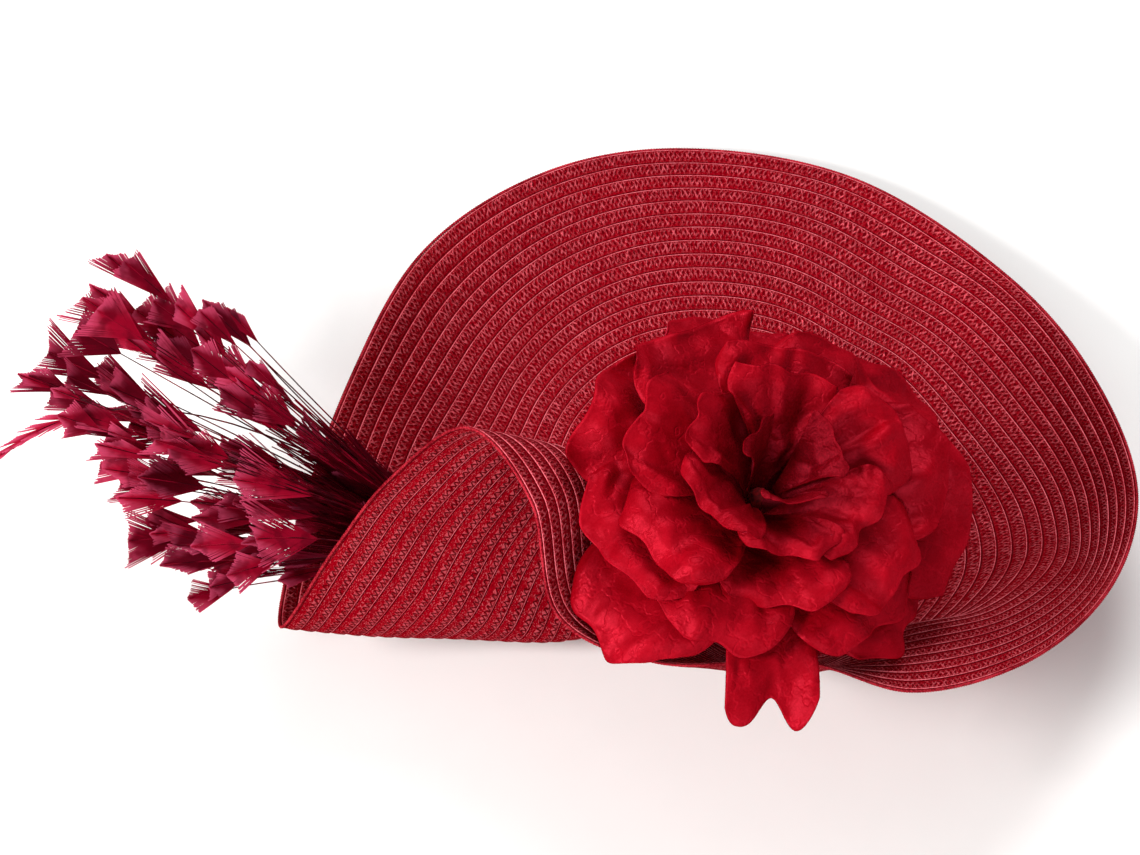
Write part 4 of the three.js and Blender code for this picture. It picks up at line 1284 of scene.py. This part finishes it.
class FASCINATOR_OT_plume(bpy.types.Operator):
    """Stripped feathers that end in flat frayed fans, and their bound head"""

    bl_idname = "fascinator.plume"
    bl_label = "Plume"

    POINTS = 18
    BARBS = 30
    DOWN = 22

    def feathers(self, dice, root, along):
        """Line, fan, spread and tint of each feather"""
        for tip, bend, fan, spread in LOCKS:
            single = spread < 9
            for k in range(1 if single else FEATHERS_PER_LOCK):
                shift = dice.uniform(-1, 1, 3) * (8, 10, 8) - (0, 0.14 * (tip[1] - 40), 0)
                shift = shift * (k > 0)
                end = np.array(tip) + shift
                back = dice.uniform(0, 13) * k
                end = end - unit(end - root) * back
                mid = np.array(bend) + shift * 0.5 + dice.uniform(-3, 3, 3)
                mid = mid + (root - mid) * back / 170
                begin = root + along * dice.uniform(-7, 7) + dice.uniform(-2.4, 2.4, 3)
                t = np.linspace(0, 1, self.POINTS)[:, None]
                line = (1 - t) ** 2 * begin + 2 * t * (1 - t) * mid + t**2 * end
                size = dice.uniform(0.75, 1.3) * (1 - back / 160)
                wide = 0 if single else spread * size * dice.uniform(0.4, 1.05)
                tint = dice.uniform(0.1, 1) * (1 - back / 80)
                yield line, fan if single else fan * size, wide, max(tint, 0.05)

    def barbs(self, dice, line, fan, spread, tint):
        """Place, aim, lie, reach and tint of each barb: a fan at the end and down near the head"""
        run = lengths_along(line)
        facing = unit(np.array((0.0, 0.3, 1.0)) + dice.uniform(-0.7, 0.7, 3) * (spread > 0))
        open_angle = math.atan2(spread or 9, fan or 1) * dice.uniform(0.75, 1.05)
        sides = {-1: dice.uniform(0.5, 1.1), 1: dice.uniform(0.5, 1.1)}

        def barb(at, angle, way, reach, shade):
            centre = np.array([np.interp(at, run, line[:, axis]) for axis in range(3)])
            k = int(np.clip(np.searchsorted(run, at), 1, len(run) - 1))
            ahead = unit(line[k] - line[k - 1])
            side = unit(np.cross(ahead, facing))
            aim = unit(ahead * math.cos(angle) + side * way * math.sin(angle))
            aim = unit(aim + dice.normal(0, 0.013, 3))
            return centre, turn_to_world(aim), turn_to_world(facing), reach * MM, shade

        for k in range(self.BARBS):
            share = k / (self.BARBS - 1)
            for way in (-1, 1):
                if spread:
                    angle = open_angle * (1 - 0.3 * share)
                    reach = fan * (1 - share) * (1 + 0.12 * (1 - share)) / math.cos(angle)
                    reach = (reach * sides[way] + 1.5) * dice.uniform(0.94, 1.02)
                else:
                    angle = 0.24 - 0.14 * share
                    reach = 15 * (1 - 0.4 * share)
                yield barb(run[-1] - fan * (1 - share), angle, way, reach, tint)
        for k in range(self.DOWN):
            for way in (-1, 1):
                at = dice.uniform(0.0, 0.45) * run[-1]
                yield barb(at, dice.uniform(0.03, 0.13), way, dice.uniform(14, 32), 0.0)

    def head(self, centre, along, dark):
        side = unit(np.cross(along, (0, 0, 1)))
        rings = []
        for r, polar in enumerate(np.pi * np.linspace(0.03, 0.97, 61)):
            radii = 4.75 * math.sin(polar) + wound(28, r / 4, 0.25)
            middle = centre + along * 10 * math.cos(polar)
            rings.append(ring(middle, side, np.cross(side, along), radii))
        return new_tube("plume_binding", rings, dark)

    def execute(self, context):
        sizes, colours = settings()
        place, normal, along = disc_place(PLUME_ANGLE, PLUME_SHARE)
        root = place + normal * PLUME_LIFT
        dice = np.random.default_rng(77)
        feathers = list(self.feathers(dice, root, along))
        lines = [to_world(line) for line, *_ in feathers]
        thick = np.tile(np.linspace(1.0, 0.45, self.POINTS), len(lines))
        kept, stem = {"thick": thick}, {"radius": sizes.quill, "material": quill_material(colours)}
        quill_tree().grow("quills", "feather", ("plume",), lines, attributes=kept, **stem)
        barbs = [barb for feather in feathers for barb in self.barbs(dice, *feather)]
        places, aim, lie, reach, tint = (np.array(part) for part in zip(*barbs))
        kept = {"aim": aim, "lie": lie, "reach": reach, "tint": tint}
        strip = {"width": sizes.barb, "bend": 0.05, "material": barb_material(colours)}
        spots = to_world(places)[:, None]
        barb_tree().grow("feather_fans", "feather", (), spots, attributes=kept, **strip)
        bound = cloth_material("bound_cloth", colours.barb, colours.quill)
        add_piece(self.head(root, along, bound), "feather")
        return {"FINISHED"}


class FASCINATOR_OT_comb(bpy.types.Operator):
    """Plastic of the comb and the thread that sews it to the disc"""

    bl_idname = "fascinator.comb"
    bl_label = "Comb"

    LOOPS = 9
    WIDTH = 56
    DEEP = 1.9

    def execute(self, context):
        _, colours = settings()
        comb = frame["nodes"]["hair_comb"]
        comb.data.materials.clear()
        comb.data.materials.append(comb_material(colours))
        mount = frame["record"]["mounts"][0]
        down = np.array(mount["axis"])
        centre = np.array(mount["pos_m"]) - down * self.DEEP * MM
        half = unit(np.array((1.0, 0, 0)) - down * down[0]) * self.WIDTH / 2 * MM
        thread = thread_material("comb_thread", colours.straw, colours.straw_dark)
        step = self.WIDTH / (self.LOOPS - 1) * MM * 0.999
        turned = {"slant": (0.0, 0.0, 0.0), "stretch": (5.2, 2.3, 1.0), "material": thread}
        winding_tree().grow(
            "comb_stitches", "straw", (), [[centre - half, centre + half]],
            core=0.1 * MM, wrap=0.3 * MM, ring=1.0 * MM, spacing=step, **turned,
        )
        return {"FINISHED"}


class FASCINATOR_PT_panel(bpy.types.Panel):
    """Sizes, colours and pieces of the fascinator"""

    bl_idname = "FASCINATOR_PT_panel"
    bl_label = "Fascinator"
    bl_space_type = "VIEW_3D"
    bl_region_type = "UI"
    bl_category = "Fascinator"

    def draw(self, context):
        for group in settings():
            for key in group.__annotations__:
                self.layout.prop(group, key)
        for operator in OPERATORS:
            self.layout.operator(operator.bl_idname)


OPERATORS = (
    FASCINATOR_OT_stage,
    FASCINATOR_OT_braid_disc,
    FASCINATOR_OT_edge_threads,
    FASCINATOR_OT_bound_rim,
    FASCINATOR_OT_petals,
    FASCINATOR_OT_flower_middle,
    FASCINATOR_OT_plume,
    FASCINATOR_OT_comb,
)
CLASSES = (FascinatorSizes, FascinatorColours, *OPERATORS, FASCINATOR_PT_panel)


def register():
    for item in CLASSES:
        bpy.utils.register_class(item)
    bpy.types.Scene.fascinator_sizes = bpy.props.PointerProperty(type=FascinatorSizes)
    bpy.types.Scene.fascinator_colours = bpy.props.PointerProperty(type=FascinatorColours)


def unregister():
    del bpy.types.Scene.fascinator_sizes
    del bpy.types.Scene.fascinator_colours
    for item in reversed(CLASSES):
        bpy.utils.unregister_class(item)


def main():
    """Builds every piece and notes the two boxes"""
    register()
    for operator in OPERATORS:
        group, name = operator.bl_idname.split(".")
        getattr(getattr(bpy.ops, group), name)()
    boxes = {"cad": [list(c) for c in cad_box], "visual": [list(c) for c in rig.bounds()]}
    with open("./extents.json", "w") as file:
        json.dump(boxes, file)


if __name__ == "__main__":
    main()
